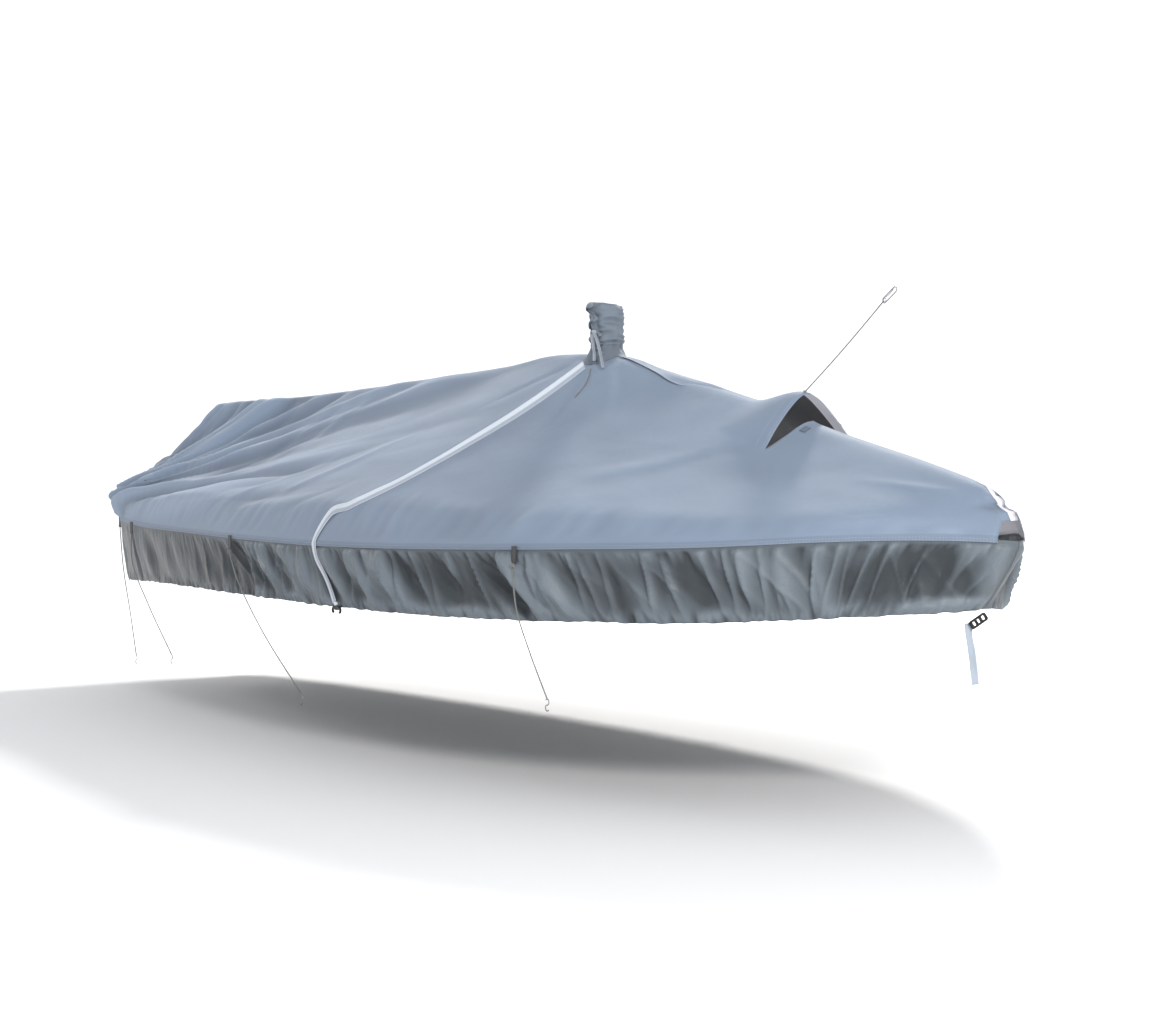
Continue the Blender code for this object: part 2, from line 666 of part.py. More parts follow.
# The collar: a sleeve round the mast, gathered at its waist, whose slit stands out in two lips
def top_height(x, y):
    hit = ON_TOP.ray_cast(Vector((x, y, 1.0)), Vector((0, 0, -1)))[0]
    return -1.0 if hit is None else hit.z


def round_height(radius, angle):
    """The highest of the top's faces near one place round the mast."""
    turns = angle + np.radians((-14, -7, -3.5, 0, 3.5, 7, 14))
    return max(top_height(radius * math.cos(t), radius * math.sin(t)) for t in turns)


def ring_angles(radius, bearing):
    """Even places round the mast, from one edge of the slit round to the other."""
    half_gap = COLLAR_SLIT_GAP / 2 / radius
    start = math.radians(bearing)
    return np.linspace(start + half_gap, start + 2 * math.pi - half_gap, COLLAR_COLUMNS)


def collar():
    rows = []
    for radius, share in COLLAR_FOOT:
        angles = ring_angles(radius, COLLAR_SLEEVE[0][-1])
        low = np.array([round_height(COLLAR_FOOT[0][0], a) for a in angles]) + 2 * CLEAR
        rise = low + (COLLAR_WAIST - PEAK_HEIGHT - low) * share
        if radius > MAST_HOLE:
            rise = np.maximum(rise, [round_height(radius, a) + 2 * CLEAR for a in angles])
        rows.append((angles, np.full(len(angles), radius), rise))
    for radius, height, pleat, wave, bearing in COLLAR_SLEEVE:
        angles = ring_angles(radius, bearing)
        pleated = radius * (1 + pleat * np.cos(COLLAR_PLEATS * angles))
        rows.append((angles, pleated, height - PEAK_HEIGHT + wave * np.sin(3 * angles + 1.0)))
    grid = []
    for k, (angles, radii, heights) in enumerate(rows):
        line = np.stack([radii * np.cos(angles), radii * np.sin(angles), heights], 1)
        # The lips stand out from the slit, scalloped from row to row.
        stand = COLLAR_LIP_LEAST + COLLAR_LIP * float(ease((k - 1) / 2)) * (0.75 + 0.25 * math.cos(2.4 * k))
        lips = line[[0, -1]].copy()
        lips[:, :2] *= 1 + stand / radii[[0, -1], None]
        grid.append(np.array([lips[0], *line, lips[1]]))
    return cloth("collar", [grid], COLLAR_CLOTH, TOP_CLOTH, False)


collar()


# The flap that closes the opening on the ridge ahead of the mast
def front_flap():
    starts = column(FLAP, FLAP_COLUMNS, "x")
    lines = []
    for x in np.linspace(starts[0], starts[-1], 16):
        low, high = (float(np.interp(x, starts, column(FLAP, FLAP_COLUMNS, n))) for n in ("low", "high"))
        part = (x - starts[0]) / (starts[-1] - starts[0])
        lift = FLAP_LIFT * math.sin(math.pi * part) ** 0.5
        line = []
        for y in (*np.linspace(low, 0, 6), *np.linspace(0, high, 5)[1:]):
            near = [top_height(a, b) for a in (x - 0.02, x, x + 0.02) for b in (y - 0.003, y, y + 0.003)]
            on_hood = float(ease((x - HOOD_START) / HOOD_CLEAR_REACH))
            over = max(FLAP_RIDGE_CLEAR * (y == 0), HOOD_CLEAR * on_hood)
            line.append((x, y, max(near) + 1.5 * CLEAR + over + (lift if y == low else 0.0)))
        lines.append(line)
    return cloth("front_flap", [lines], COLLAR_CLOTH, TOP_CLOTH, False)


front_flap()


# A small patch sewn on the lower lip of the vent's mouth
def hood_patch():
    lines = []
    for x in np.linspace(*PATCH_X, 3):
        line = []
        for y in PATCH_Y:
            low = max(top_height(x, y - 0.004), top_height(x, y + 0.004))
            line.append((x, y, low + 1.5 * CLEAR))
        lines.append(line)
    return cloth("hood_patch", [lines], WEBBING, PATCH_CLOTH, False)


hood_patch()


# The side straps, from the collar's foot over the gunwale to the hem, each with its knot and double hook
def knot(name, place, size, finish, stretch=(1.0, 0.85, 0.8)):
    lump = bmesh.new()
    bmesh.ops.create_icosphere(lump, subdivisions=2, radius=size / 2)
    for vert in lump.verts:
        vert.co *= 1 + 0.12 * math.sin(5 * vert.co.x / size + 7 * vert.co.z / size)
        vert.co = Vector(place) + Vector(a * b for a, b in zip(vert.co, stretch))
    mesh = bpy.data.meshes.new(name)
    lump.to_mesh(mesh)
    lump.free()
    return add(name, mesh, finish)


def leaning(fore, aft):
    """A strap's aft edge, stood up from the cloth about its fore edge."""
    share = np.linspace(0, 1, len(fore))[:, None]
    start, end = LEAN_ENDS
    lean = STRAP_LEAN * (1 - ease((share - start) / (end - start)))
    width = np.linalg.norm(aft - fore, axis=1)[:, None]
    out = np.array([outward(p) for p in fore])
    return fore + (aft - fore) * np.cos(lean) + out * width * np.sin(lean)


def strap(side):
    line = route(mirrored(from_gunwale(STRAP_ROUTE), side), STRAP_POINTS)
    near, far = laid(ON_COVER, np.stack(edges(line, WEBBING_WIDTH)), STRAP_CLEAR)
    if side == STARBOARD:
        far = leaning(near, far)
    else:
        near = leaning(far, near)
    strip(f"strap_{side_name(side)}", near, far, WEBBING, PALE_WEBBING)
    middle = (near + far) / 2
    return middle[-1] + tangents(middle)[-1] * KNOT_DROP + outward(middle[-1]) * KNOT_OUT


def double_hook(side, hangs_at):
    """A flat plastic plate with a hook at each end, on the hem under the strap."""
    data = bpy.data.curves.new("double_hook", "CURVE")
    data.dimensions = "2D"
    data.fill_mode = "BOTH"
    data.extrude = PLATE_THICKNESS / 2
    outline = [*PLATE_HALF, *((-x, y) for x, y in PLATE_HALF[-2:0:-1])]
    line = data.splines.new("POLY")
    line.use_cyclic_u = True
    line.points.add(len(outline) - 1)
    for point, place in zip(line.points, outline):
        point.co = (*place, 0.0, 1.0)
    made = add(f"strap_hook_{side_name(side)}", data, BLACK_PLASTIC)
    made.rotation_euler = (math.radians(90), 0, 0)
    made.location = hangs_at
    return made


for each in (STARBOARD, PORT):
    strap_end = strap(each)
    knot(f"strap_knot_{side_name(each)}", strap_end, STRAP_KNOT, PALE_WEBBING)
    double_hook(each, strap_end + PLATE_DROP)


def side_face(x, y, z):
    """How far out from the middle line the cover's outer face lies, on y's side."""
    side = math.copysign(1, y)
    hit = ON_COVER.ray_cast(Vector((x, 2 * side, z)), Vector((0, -side, 0)))[0]
    return 0.0 if hit is None else abs(hit.y)


# Webbing loops sewn into the gunwale seam, folded flat
def tie_loop(name, x, side):
    run = run_at(x)
    seam = np.array([gunwale(n, run) for n in "xyz"]) * (1, side, 1) - (0, 0, PEAK_HEIGHT)
    ahead = np.array([gunwale(n, run - 0.01) - gunwale(n, run) for n in "xy"] + [0.0]) * (1, side, 0)
    ahead *= LOOP_WIDTH / 2 / np.linalg.norm(ahead)
    drops = np.linspace(min(LOOP_PROFILE)[0], max(LOOP_PROFILE)[0], 15)
    covered = [(share, drop) for share in np.linspace(-1, 1, 9) for drop in drops]
    seat = max(side_face(*(seam + share * ahead)[:2], seam[2] - drop) for share, drop in covered) + CLEAR
    sides = []
    for share in (1, -1) if side == STARBOARD else (-1, 1):
        edge = seam + share * ahead
        line = [(edge[0], side * (seat + off), edge[2] - drop) for drop, off in LOOP_PROFILE]
        sides.append(np.array(line))
    return strip(f"tie_loop_{name}_{side_name(side)}", *sides, WEBBING, DARK_WEBBING)


for each in (STARBOARD, PORT):
    for label, place in LOOPS:
        tie_loop(label, place, each)


# Tie-down cords on the side that shows, each ending in a small steel hook
def hook(name, eye, size):
    """An S-hook bent from wire, whose upper eye hangs on a cord's end."""
    turns = np.radians(np.linspace(150, -90, 7))
    upper = [(0.5 * math.cos(t), 0.5 * math.sin(t)) for t in turns]
    lower = [(-x, -1.0 - y) for x, y in upper[-2::-1]]
    points = [np.array(eye) + (size * x, 0, size * (y - 0.62)) for x, y in upper + lower]
    return tube(name, points, HOOK_WIRE, STEEL)


def tie_cord(name, rows, count):
    line = route(from_gunwale(rows), count)
    return tube(f"tie_cord_{name}", line, CORD, PALE_CORD)


for label, rows in TIE_CORDS.items():
    tie_cord(label, rows, 10)
    places = from_gunwale(rows)
    eye = places[-1] + tangents(places)[-1] * TIE_HOOK_DROPS[label] + (0, 0, HOOK_RISE)
    hook(f"tie_hook_{label}", eye, HOOK_SIZE)
for label, place, size in TIE_KNOTS:
    knot(f"tie_knot_{label}", from_gunwale([place])[0], size, PALE_CORD)
TIE_END = route(from_gunwale(SHORT_TIE), 10)
tube("short_tie", laid(ON_COVER, TIE_END[None], CORD / 2 + SEAT)[0], CORD, PALE_CORD)


# The line that holds the vent hood up, with its snap hook
def snap_hook(name, low, high, width):
    axis = np.array(high) - np.array(low)
    length = np.linalg.norm(axis)
    axis /= length
    side = np.array([-axis[2], 0, axis[0]])
    points = []
    for turn in np.linspace(0, 2 * math.pi, 16, endpoint=False):
        stretch = (length - width) / 2 * np.sign(math.sin(turn)) if abs(math.sin(turn)) > 0.01 else 0.0
        along = length / 2 + math.sin(turn) * width / 2 + stretch
        points.append(np.array(low) + axis * along + side * math.cos(turn) * width / 2)
    made = tube(name, points, HOOK_WIRE, STEEL)
    made.data.splines[0].use_cyclic_u = True
    return made


HOOD_TIE = from_gunwale(HOOD_LINE)
tube("hood_line", route(HOOD_TIE, 14), HOOD_CORD, PALE_CORD)
knot("hood_knot", from_gunwale([HOOD_KNOT_AT])[0], HOOD_KNOT, PALE_CORD)
snap_hook("hood_hook", *from_gunwale(SNAP_HOOK), SNAP_HOOK_WIDTH)


# The tape that laces the collar's slit, with its knot and two hanging ends, and a thin cord's end
def hanging_tape(name, rows, width):
    line = route(from_gunwale(rows), 10)
    facing = np.tile([math.cos(TAPE_FACING), math.sin(TAPE_FACING), 0.2], (len(line), 1))
    return strip(name, *edges(line, width, facing), WEBBING, PALE_WEBBING)


knot("collar_knot", from_gunwale([COLLAR_KNOT_AT])[0], COLLAR_KNOT, PALE_WEBBING)
for label, rows in COLLAR_TAPES.items():
    hanging_tape(f"collar_tape_{label}", rows, TAPE_WIDTH)
CORD_END = route(from_gunwale(COLLAR_CORD), 10)
tube("collar_cord", laid(ON_TOP, CORD_END[None], HOOD_CORD / 2 + CLEAR)[0], HOOD_CORD, PALE_CORD)


# The buckle on the hem under the stem, and its hanging tail
def bow_buckle():
    block = bmesh.new()
    bmesh.ops.create_cube(block, size=1.0)
    bmesh.ops.scale(block, vec=BUCKLE_SIZE, verts=block.verts)
    mesh = bpy.data.meshes.new("bow_buckle")
    block.to_mesh(mesh)
    block.free()
    made = add("bow_buckle", mesh, BLACK_PLASTIC)
    made.location = from_gunwale([BUCKLE_AT])[0]
    made.rotation_euler = (0, math.radians(BUCKLE_TILT), math.radians(BUCKLE_TURN))
    rounded = made.modifiers.new("Rounded edges", "BEVEL")
    rounded.width = BUCKLE_ROUNDING
    rounded.segments = 2
    return made


bow_buckle()
hanging_tape("bow_tail", BOW_TAIL, BOW_TAIL_WIDTH)
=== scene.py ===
"""How the boat cover looks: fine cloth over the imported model's shape, with its straps, cords and fittings.

Metres, +Z up, +X to the bow, +Y to port, as in the model. Tables give heights above the gunwale's level.
"""

import math

import bmesh
import bpy
import numpy as np
from mathutils import Matrix, Vector, noise
from mathutils.bvhtree import BVHTree


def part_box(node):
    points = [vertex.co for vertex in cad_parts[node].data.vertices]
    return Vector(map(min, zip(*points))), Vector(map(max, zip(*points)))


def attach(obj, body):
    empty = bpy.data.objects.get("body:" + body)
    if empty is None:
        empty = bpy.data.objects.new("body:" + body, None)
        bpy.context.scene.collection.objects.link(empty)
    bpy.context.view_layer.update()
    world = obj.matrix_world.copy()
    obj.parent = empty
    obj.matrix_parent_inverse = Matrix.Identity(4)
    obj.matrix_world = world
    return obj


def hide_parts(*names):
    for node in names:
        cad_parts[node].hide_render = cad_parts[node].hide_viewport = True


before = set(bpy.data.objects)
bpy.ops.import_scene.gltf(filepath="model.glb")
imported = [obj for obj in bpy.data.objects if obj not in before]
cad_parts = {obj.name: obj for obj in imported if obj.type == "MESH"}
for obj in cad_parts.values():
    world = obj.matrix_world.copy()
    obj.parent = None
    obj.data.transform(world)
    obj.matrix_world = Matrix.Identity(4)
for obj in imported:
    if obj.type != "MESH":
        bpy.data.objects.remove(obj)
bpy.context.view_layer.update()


# Where it is seen from: off the starboard bow, a little above the gunwale, on a plain pale floor that curves
# up behind it. The main soft light comes from the port quarter across the folds, two weaker ones fill the
# near side, and one lights the backdrop.
VIEW_FROM = (5.184, -3.628, -0.308)
VIEW_HEADING, VIEW_DIP, VIEW_LENS = 0.9692, 0.02675, 63.15
FLOOR_HEIGHT, FLOOR_REACH = -1.24, 8.0
BACKDROP_BEND, BACKDROP_WALL, BACKDROP_SIDES = 10.0, 6.0, 64
COVER_MIDDLE = (-0.4, 0.0, -0.4)
# Each light: its name, where it is, where it points, its size, power and colour.
LIGHTS = (
    ("key", (-3.4, 5.0, 4.3), COVER_MIDDLE, 1.2, 560.0, (1.0, 0.98, 0.95)),
    ("near_bow", (6.0, -2.2, 2.0), COVER_MIDDLE, 1.0, 235.0, (1.0, 0.99, 0.97)),
    ("near_stern", (-6.0, -2.8, 2.4), COVER_MIDDLE, 1.1, 30.0, (1.0, 0.98, 0.96)),
    ("backdrop", (-3.0, 2.5, 5.5), (-16.0, 11.0, 1.5), 4.0, 800.0, (1.0, 1.0, 1.0)),
)


def turns_of(count):
    """Even steps round a circle."""
    return np.linspace(0, 2 * math.pi, count, endpoint=False)


def placed(name, data):
    """An object of the given data, put in the scene."""
    made = bpy.data.objects.new(name, data)
    bpy.context.scene.collection.objects.link(made)
    return made


def formed(name, shell, *materials):
    """The shell's faces as a smooth piece of the given materials."""
    mesh = bpy.data.meshes.new(name)
    shell.to_mesh(mesh)
    shell.free()
    mesh.shade_smooth()
    for material in materials:
        mesh.materials.append(material)
    return placed(name, mesh)


def surface(name, settings):
    """A new material, its node tree and its shader, which takes the given settings."""
    made = bpy.data.materials.new(name)
    made.use_nodes = True
    shader = made.node_tree.nodes["Principled BSDF"]
    for socket, value in settings.items():
        shader.inputs[socket].default_value = value
    return made, made.node_tree, shader


def pale_backdrop():
    """A floor of pale paper whose far edge curves up into a wall, all round the cover."""
    rings = [(FLOOR_REACH * share, 0.0) for share in (0.05, 0.5, 1.0)]
    for turn in np.linspace(0, math.pi / 2, 19)[1:]:
        rings.append((FLOOR_REACH + BACKDROP_BEND * math.sin(turn), BACKDROP_BEND * (1 - math.cos(turn))))
    rings.append((FLOOR_REACH + BACKDROP_BEND, BACKDROP_BEND + BACKDROP_WALL))
    shell, loops = bmesh.new(), []
    for radius, height in rings:
        ring = [(radius * math.cos(t), radius * math.sin(t)) for t in turns_of(BACKDROP_SIDES)]
        loops.append([shell.verts.new((*place, FLOOR_HEIGHT + height)) for place in ring])
    shell.faces.new(loops[0])
    for low, high in zip(loops, loops[1:]):
        for k in range(BACKDROP_SIDES):
            shell.faces.new((low[k - 1], high[k - 1], high[k], low[k]))
    paper = surface("pale paper", {"Base Color": (0.90, 0.90, 0.90, 1), "Roughness": 0.9})[0]
    formed("floor", shell, paper)


def soft_light(name, place, aim, size, power, colour):
    lamp = bpy.data.lights.new(name, "AREA")
    lamp.shape, lamp.size, lamp.energy, lamp.color = "DISK", size, power, colour
    light = placed(name, lamp)
    light.location = place
    light.rotation_euler = (Vector(aim) - Vector(place)).to_track_quat("-Z", "Y").to_euler()


def camera():
    seen = placed("camera", bpy.data.cameras.new("camera"))
    seen.data.lens = VIEW_LENS
    seen.location = VIEW_FROM
    level = math.cos(VIEW_DIP)
    ahead = (-math.sin(VIEW_HEADING) * level, math.cos(VIEW_HEADING) * level, -math.sin(VIEW_DIP))
    seen.rotation_euler = Vector(ahead).to_track_quat("-Z", "Y").to_euler()
    bpy.context.scene.camera = seen


pale_backdrop()
for row in LIGHTS:
    soft_light(*row)
camera()
sky = bpy.data.worlds.new("pale sky")
sky.use_nodes = True
sky_light = sky.node_tree.nodes["Background"].inputs
sky_light["Color"].default_value, sky_light["Strength"].default_value = (0.93, 0.96, 1.0, 1), 0.70
bpy.context.scene.world = sky
bpy.context.scene.view_settings.view_transform = "Standard"


# The two main panels: light blue-grey coated cloth, drawn tight from the ridge down over the gunwale. They
# are sewn together along the ridge, and open under the collar, at the vent and at the bow. Long folds fan out
# from the ear over each transom corner, where the cloth is pulled down.
def table(names, *rows):
    """The columns of the rows, by name."""
    return dict(zip(names.split(), np.array(rows, float).T))


PEAK_HEIGHT = 0.575
CLOTH, SOLID_CLOTH = 0.0010, 0.003
SEAM_GAP = 0.001
PORT, STARBOARD = 1, -1
TOP_FRONT_X, CORNER_ROW = 1.688, 14
GUNWALE = table(
    "x y z shoulder_in shoulder_up skirt_in skirt_drop",
    (1.717, 0.000, 0.052, 0.014, 0.050, 0.100, 0.170),
    (1.700, 0.030, 0.055, 0.014, 0.050, 0.085, 0.174),
    (1.640, 0.085, 0.058, 0.020, 0.048, 0.062, 0.182),
    (1.550, 0.172, 0.059, 0.034, 0.048, 0.048, 0.190),
    (1.400, 0.312, 0.053, 0.052, 0.050, 0.038, 0.195),
    (1.150, 0.492, 0.035, 0.070, 0.060, 0.032, 0.196),
    (0.750, 0.672, 0.019, 0.078, 0.075, 0.030, 0.196),
    (0.250, 0.775, 0.003, 0.076, 0.095, 0.030, 0.194),
    (-0.300, 0.806, -0.009, 0.072, 0.118, 0.030, 0.188),
    (-0.900, 0.788, -0.011, 0.074, 0.110, 0.032, 0.190),
    (-1.500, 0.736, -0.008, 0.072, 0.100, 0.036, 0.200),
    (-2.050, 0.660, -0.008, 0.050, 0.092, 0.040, 0.212),
    (-2.450, 0.572, -0.002, 0.006, 0.086, 0.040, 0.235),
    (-2.660, 0.505, 0.002, -0.040, 0.080, 0.034, 0.248),
    (-2.735, 0.455, 0.004, -0.060, 0.076, 0.030, 0.250),
    (-2.752, 0.300, 0.008, -0.040, 0.060, 0.028, 0.246),
    (-2.756, 0.000, 0.010, -0.034, 0.060, 0.026, 0.244),
)
RIDGE = table(
    "x z sag",
    (-2.830, 0.462, 0.052),
    (-2.700, 0.480, 0.050),
    (-2.300, 0.487, 0.042),
    (-1.700, 0.504, 0.034),
    (-1.100, 0.530, 0.028),
    (-0.550, 0.557, 0.024),
    (-0.120, 0.578, 0.018),
    (0.060, 0.567, 0.016),
    (0.300, 0.511, 0.016),
    (0.700, 0.423, 0.014),
    (1.100, 0.318, 0.012),
    (1.400, 0.248, 0.006),
    (1.600, 0.196, 0.000),
    (1.717, 0.160, 0.000),
)
# Long folds from the ear: where the fold's line meets the ridge, rise, half width as an angle, reach.
EAR = (-2.90, 0.56)
LONG_FOLDS = {
    STARBOARD: (
        (-2.70, 0.012, 0.16, 0.60),
        (-2.46, -0.016, 0.10, 0.75),
        (-2.24, 0.020, 0.10, 0.95),
        (-2.00, -0.022, 0.065, 1.20),
        (-1.80, 0.016, 0.045, 1.40),
        (-1.60, -0.014, 0.035, 1.60),
        (-1.32, 0.015, 0.035, 1.80),
        (-1.02, -0.013, 0.028, 1.90),
        (-0.66, 0.013, 0.028, 2.00),
        (-0.10, -0.010, 0.030, 1.90),
    ),
    PORT: (
        (-2.64, -0.012, 0.16, 0.60),
        (-2.36, 0.018, 0.11, 0.85),
        (-2.08, -0.019, 0.08, 1.10),
        (-1.82, 0.015, 0.05, 1.30),
        (-1.50, -0.015, 0.045, 1.60),
        (-1.15, 0.014, 0.035, 1.80),
        (-0.70, -0.012, 0.03, 1.90),
        (-0.05, 0.011, 0.03, 1.80),
    ),
}
# Creases by their ends and middle in plan, x and distance from the middle line, with rise and half width.
CREASES = {
    STARBOARD: (
        ((-1.90, 0.03), (-2.13, 0.25), (-2.66, 0.53), -0.010, 0.022),
        ((-2.02, 0.04), (-2.26, 0.27), (-2.70, 0.52), 0.007, 0.020),
        ((-2.60, 0.03), (-2.60, 0.20), (-2.74, 0.42), -0.008, 0.020),
        ((-1.80, 0.20), (-2.08, 0.38), (-2.62, 0.55), 0.008, 0.022),
        ((-1.50, 0.07), (-1.68, 0.30), (-2.05, 0.56), -0.008, 0.028),
        ((-1.36, 0.03), (-1.42, 0.24), (-1.72, 0.50), 0.006, 0.030),
        ((-0.86, 0.42), (-1.12, 0.58), (-1.34, 0.70), 0.006, 0.026),
        ((-0.56, 0.34), (-0.74, 0.52), (-0.98, 0.68), 0.006, 0.028),
        ((-0.50, 0.62), (-0.66, 0.72), (-0.90, 0.77), -0.005, 0.022),
        ((-1.95, 0.50), (-2.25, 0.56), (-2.56, 0.56), -0.007, 0.016),
        ((-2.10, 0.44), (-2.35, 0.50), (-2.60, 0.545), 0.006, 0.014),
        ((0.06, 0.05), (0.20, 0.12), (0.34, 0.24), 0.004, 0.012),
        ((0.03, 0.08), (0.10, 0.20), (0.16, 0.34), -0.004, 0.014),
        ((-0.04, 0.08), (-0.08, 0.19), (-0.14, 0.30), 0.003, 0.012),
        ((-0.07, 0.05), (-0.20, 0.14), (-0.34, 0.24), -0.003, 0.014),
        ((0.92, 0.16), (0.72, 0.32), (0.50, 0.50), 0.004, 0.040),
        ((0.93, 0.14), (0.84, 0.22), (0.74, 0.36), -0.004, 0.030),
        ((1.02, 0.20), (1.16, 0.28), (1.26, 0.40), 0.003, 0.035),
        ((1.60, 0.08), (1.50, 0.18), (1.36, 0.30), 0.004, 0.010),
        ((1.62, 0.06), (1.56, 0.12), (1.44, 0.24), -0.003, 0.009),
        ((1.61, 0.04), (1.48, 0.08), (1.30, 0.14), 0.003, 0.012),
    ),
    PORT: (
        ((-1.84, 0.03), (-2.10, 0.27), (-2.66, 0.53), 0.009, 0.022),
        ((-2.05, 0.04), (-2.30, 0.29), (-2.70, 0.52), -0.008, 0.020),
        ((-1.62, 0.16), (-1.95, 0.36), (-2.58, 0.55), -0.008, 0.024),
        ((-1.30, 0.08), (-1.50, 0.30), (-1.90, 0.58), 0.007, 0.028),
        ((-0.80, 0.36), (-1.05, 0.55), (-1.30, 0.70), -0.006, 0.026),
        ((-0.42, 0.30), (-0.62, 0.52), (-0.80, 0.70), 0.006, 0.028),
        ((-1.90, 0.52), (-2.20, 0.57), (-2.54, 0.565), -0.007, 0.016),
        ((0.05, 0.06), (0.18, 0.15), (0.30, 0.28), -0.004, 0.013),
        ((0.00, 0.08), (0.04, 0.20), (0.06, 0.36), 0.004, 0.014),
        ((-0.06, 0.06), (-0.18, 0.16), (-0.30, 0.28), 0.003, 0.013),
        ((0.92, 0.16), (0.74, 0.30), (0.54, 0.46), 0.004, 0.036),
        ((1.60, 0.07), (1.50, 0.17), (1.34, 0.30), -0.004, 0.010),
        ((1.61, 0.05), (1.50, 0.10), (1.32, 0.18), 0.003, 0.011),
    ),
}
STREAK_RISE, EAR_STRIPES, EAR_STRIPE_TURN = 0.030, 0.0095, 0.052
# Heights of the slack's broad and fine waves and of the short puckers over the shoulder.
SLACK_BROAD, SLACK_FINE, SHOULDER_PUCKER = 0.0034, 0.0014, 0.0035
MAST_HOLE = 0.056
NOTCH_X, NOTCH_HALF = 1.600, 0.030
MOUTH_X, HOOD_RISE, HOOD_START = 0.945, 0.074, 0.700
MOUTH_HALF, MOUTH_CURVE = {STARBOARD: 0.150, PORT: 0.205}, 1.8
MOUTH_ROWS, FACING, NOTCH_FACING_X = 16, 0.048, 1.22
TUCK = (1.648, 0.137, 0.016)
LAP, RIDGE_LAP, HEM_BAND = 0.009, 0.010, 0.018
# The inner face is painted near black as shade; the facing colour is the cloth's own pale inner colour.
TOP_COLOUR, INNER_SHADE_COLOUR, FACING_COLOUR = (0.222, 0.282, 0.378), (0.030, 0.032, 0.040), (0.80, 0.79, 0.86)


def through(knots, values, at):
    """A smooth curve through the knots (Catmull-Rom slopes), read at the given places."""
    knots, values = np.asarray(knots, float), np.asarray(values, float)
    if knots[0] > knots[-1]:
        knots, values = knots[::-1], values[::-1]
    slopes = np.gradient(values, knots)
    at = np.clip(at, knots[0], knots[-1])
    i = np.clip(np.searchsorted(knots, at) - 1, 0, len(knots) - 2)
    step = knots[i + 1] - knots[i]
    t = (at - knots[i]) / step
    return (
        (1 + 2 * t) * (1 - t) ** 2 * values[i]
        + t * (1 - t) ** 2 * step * slopes[i]
        + t * t * (3 - 2 * t) * values[i + 1]
        + t * t * (t - 1) * step * slopes[i + 1]
    )


def ease(t):
    t = np.clip(t, 0.0, 1.0)
    return t * t * (3 - 2 * t)


def bell(distance, width):
    return np.exp(-((distance / width) ** 2))


def run_along(points):
    """Distance along a row of points, from 0."""
    steps = np.linalg.norm(np.diff(points, axis=0), axis=1)
    return np.concatenate([[0.0], np.cumsum(steps)])


def read_at(places, along, line):
    """The line's points at the given distances along it."""
    return np.stack([np.interp(places, along, line[:, k]) for k in range(line.shape[1])], 1)


SIDE_NAMES = {STARBOARD: "starboard", PORT: "port"}
GUNWALE_RUN = run_along(np.stack([GUNWALE["x"], GUNWALE["y"]], 1))
CORNER_RUN = GUNWALE_RUN[CORNER_ROW]


def gunwale(name, run):
    return through(GUNWALE_RUN, GUNWALE[name], run)


def run_at(x):
    runs = np.linspace(0, CORNER_RUN, 2000)
    return float(np.interp(-x, -gunwale("x", runs), runs))


def ridge(name, x):
    return through(RIDGE["x"], RIDGE[name], x)


def section(run):
    """Half the top's cross-section at a place on the seam: points 4 mm apart, ridge to seam, as (y, z)."""
    x, y, z = (float(gunwale(name, run)) for name in "xyz")
    knee = np.array([y - gunwale("shoulder_in", run), z + gunwale("shoulder_up", run)])
    top, seam = np.array([0.0, ridge("z", x)]), np.array([y, z])
    part = np.linspace(0, 1, 120)[:, None]
    panel = top + part * (knee - top)
    panel[:, 1] -= ridge("sag", x) * np.sin(np.pi * part[:, 0] ** 0.8)
    past = seam + 0.12 * (seam - knee) / np.linalg.norm(seam - knee)
    half = np.concatenate([panel, knee + part[1:] * (past - knee)])
    whole = np.concatenate([half[:0:-1] * (-1, 1), half])
    run_whole = run_along(whole)
    even = np.arange(0, run_whole[-1], 0.004)
    line = read_at(even, run_whole, whole)
    # The cloth goes softly over the gunwale, and sharply where the side strap holds it down.
    window = np.hanning(43 - 2 * round(12 * math.exp(-(((x + 0.34) / 0.16) ** 2))))[1:-1]
    soft = np.stack([np.convolve(line[:, k], window / window.sum(), "same") for k in (0, 1)], 1)
    middle = run_whole[-1] / 2
    length = run_along(half)[-1] - 0.12
    soft = soft[(even >= middle) & (even <= middle + length)]
    soft[0, 0] = 0.0
    along = run_along(soft)
    soft += ease((along / along[-1] - 0.8) / 0.2)[:, None] * (seam - soft[-1])
    return soft


def inner_edge(x):
    """Half width of the opening at the ridge: the hole under the collar and the notch at the bow."""
    if abs(x) < MAST_HOLE:
        return math.sqrt(MAST_HOLE**2 - x * x)
    return NOTCH_HALF * float(ease((x - NOTCH_X) / 0.03)) ** 0.5


def long_fold_rise(side, x, y):
    away = np.hypot(x - EAR[0], EAR[1] - y)
    angle = np.arctan2(EAR[1] - y, x - EAR[0])
    rise = np.zeros_like(away)
    for ridge_x, height, width, far in LONG_FOLDS[side]:
        at = math.atan2(EAR[1], ridge_x - EAR[0])
        fade = ease((away - 0.12) / 0.5) * (1 - ease((away - far) / 0.7))
        rise += height * bell(angle - at, width) * fade
    return rise


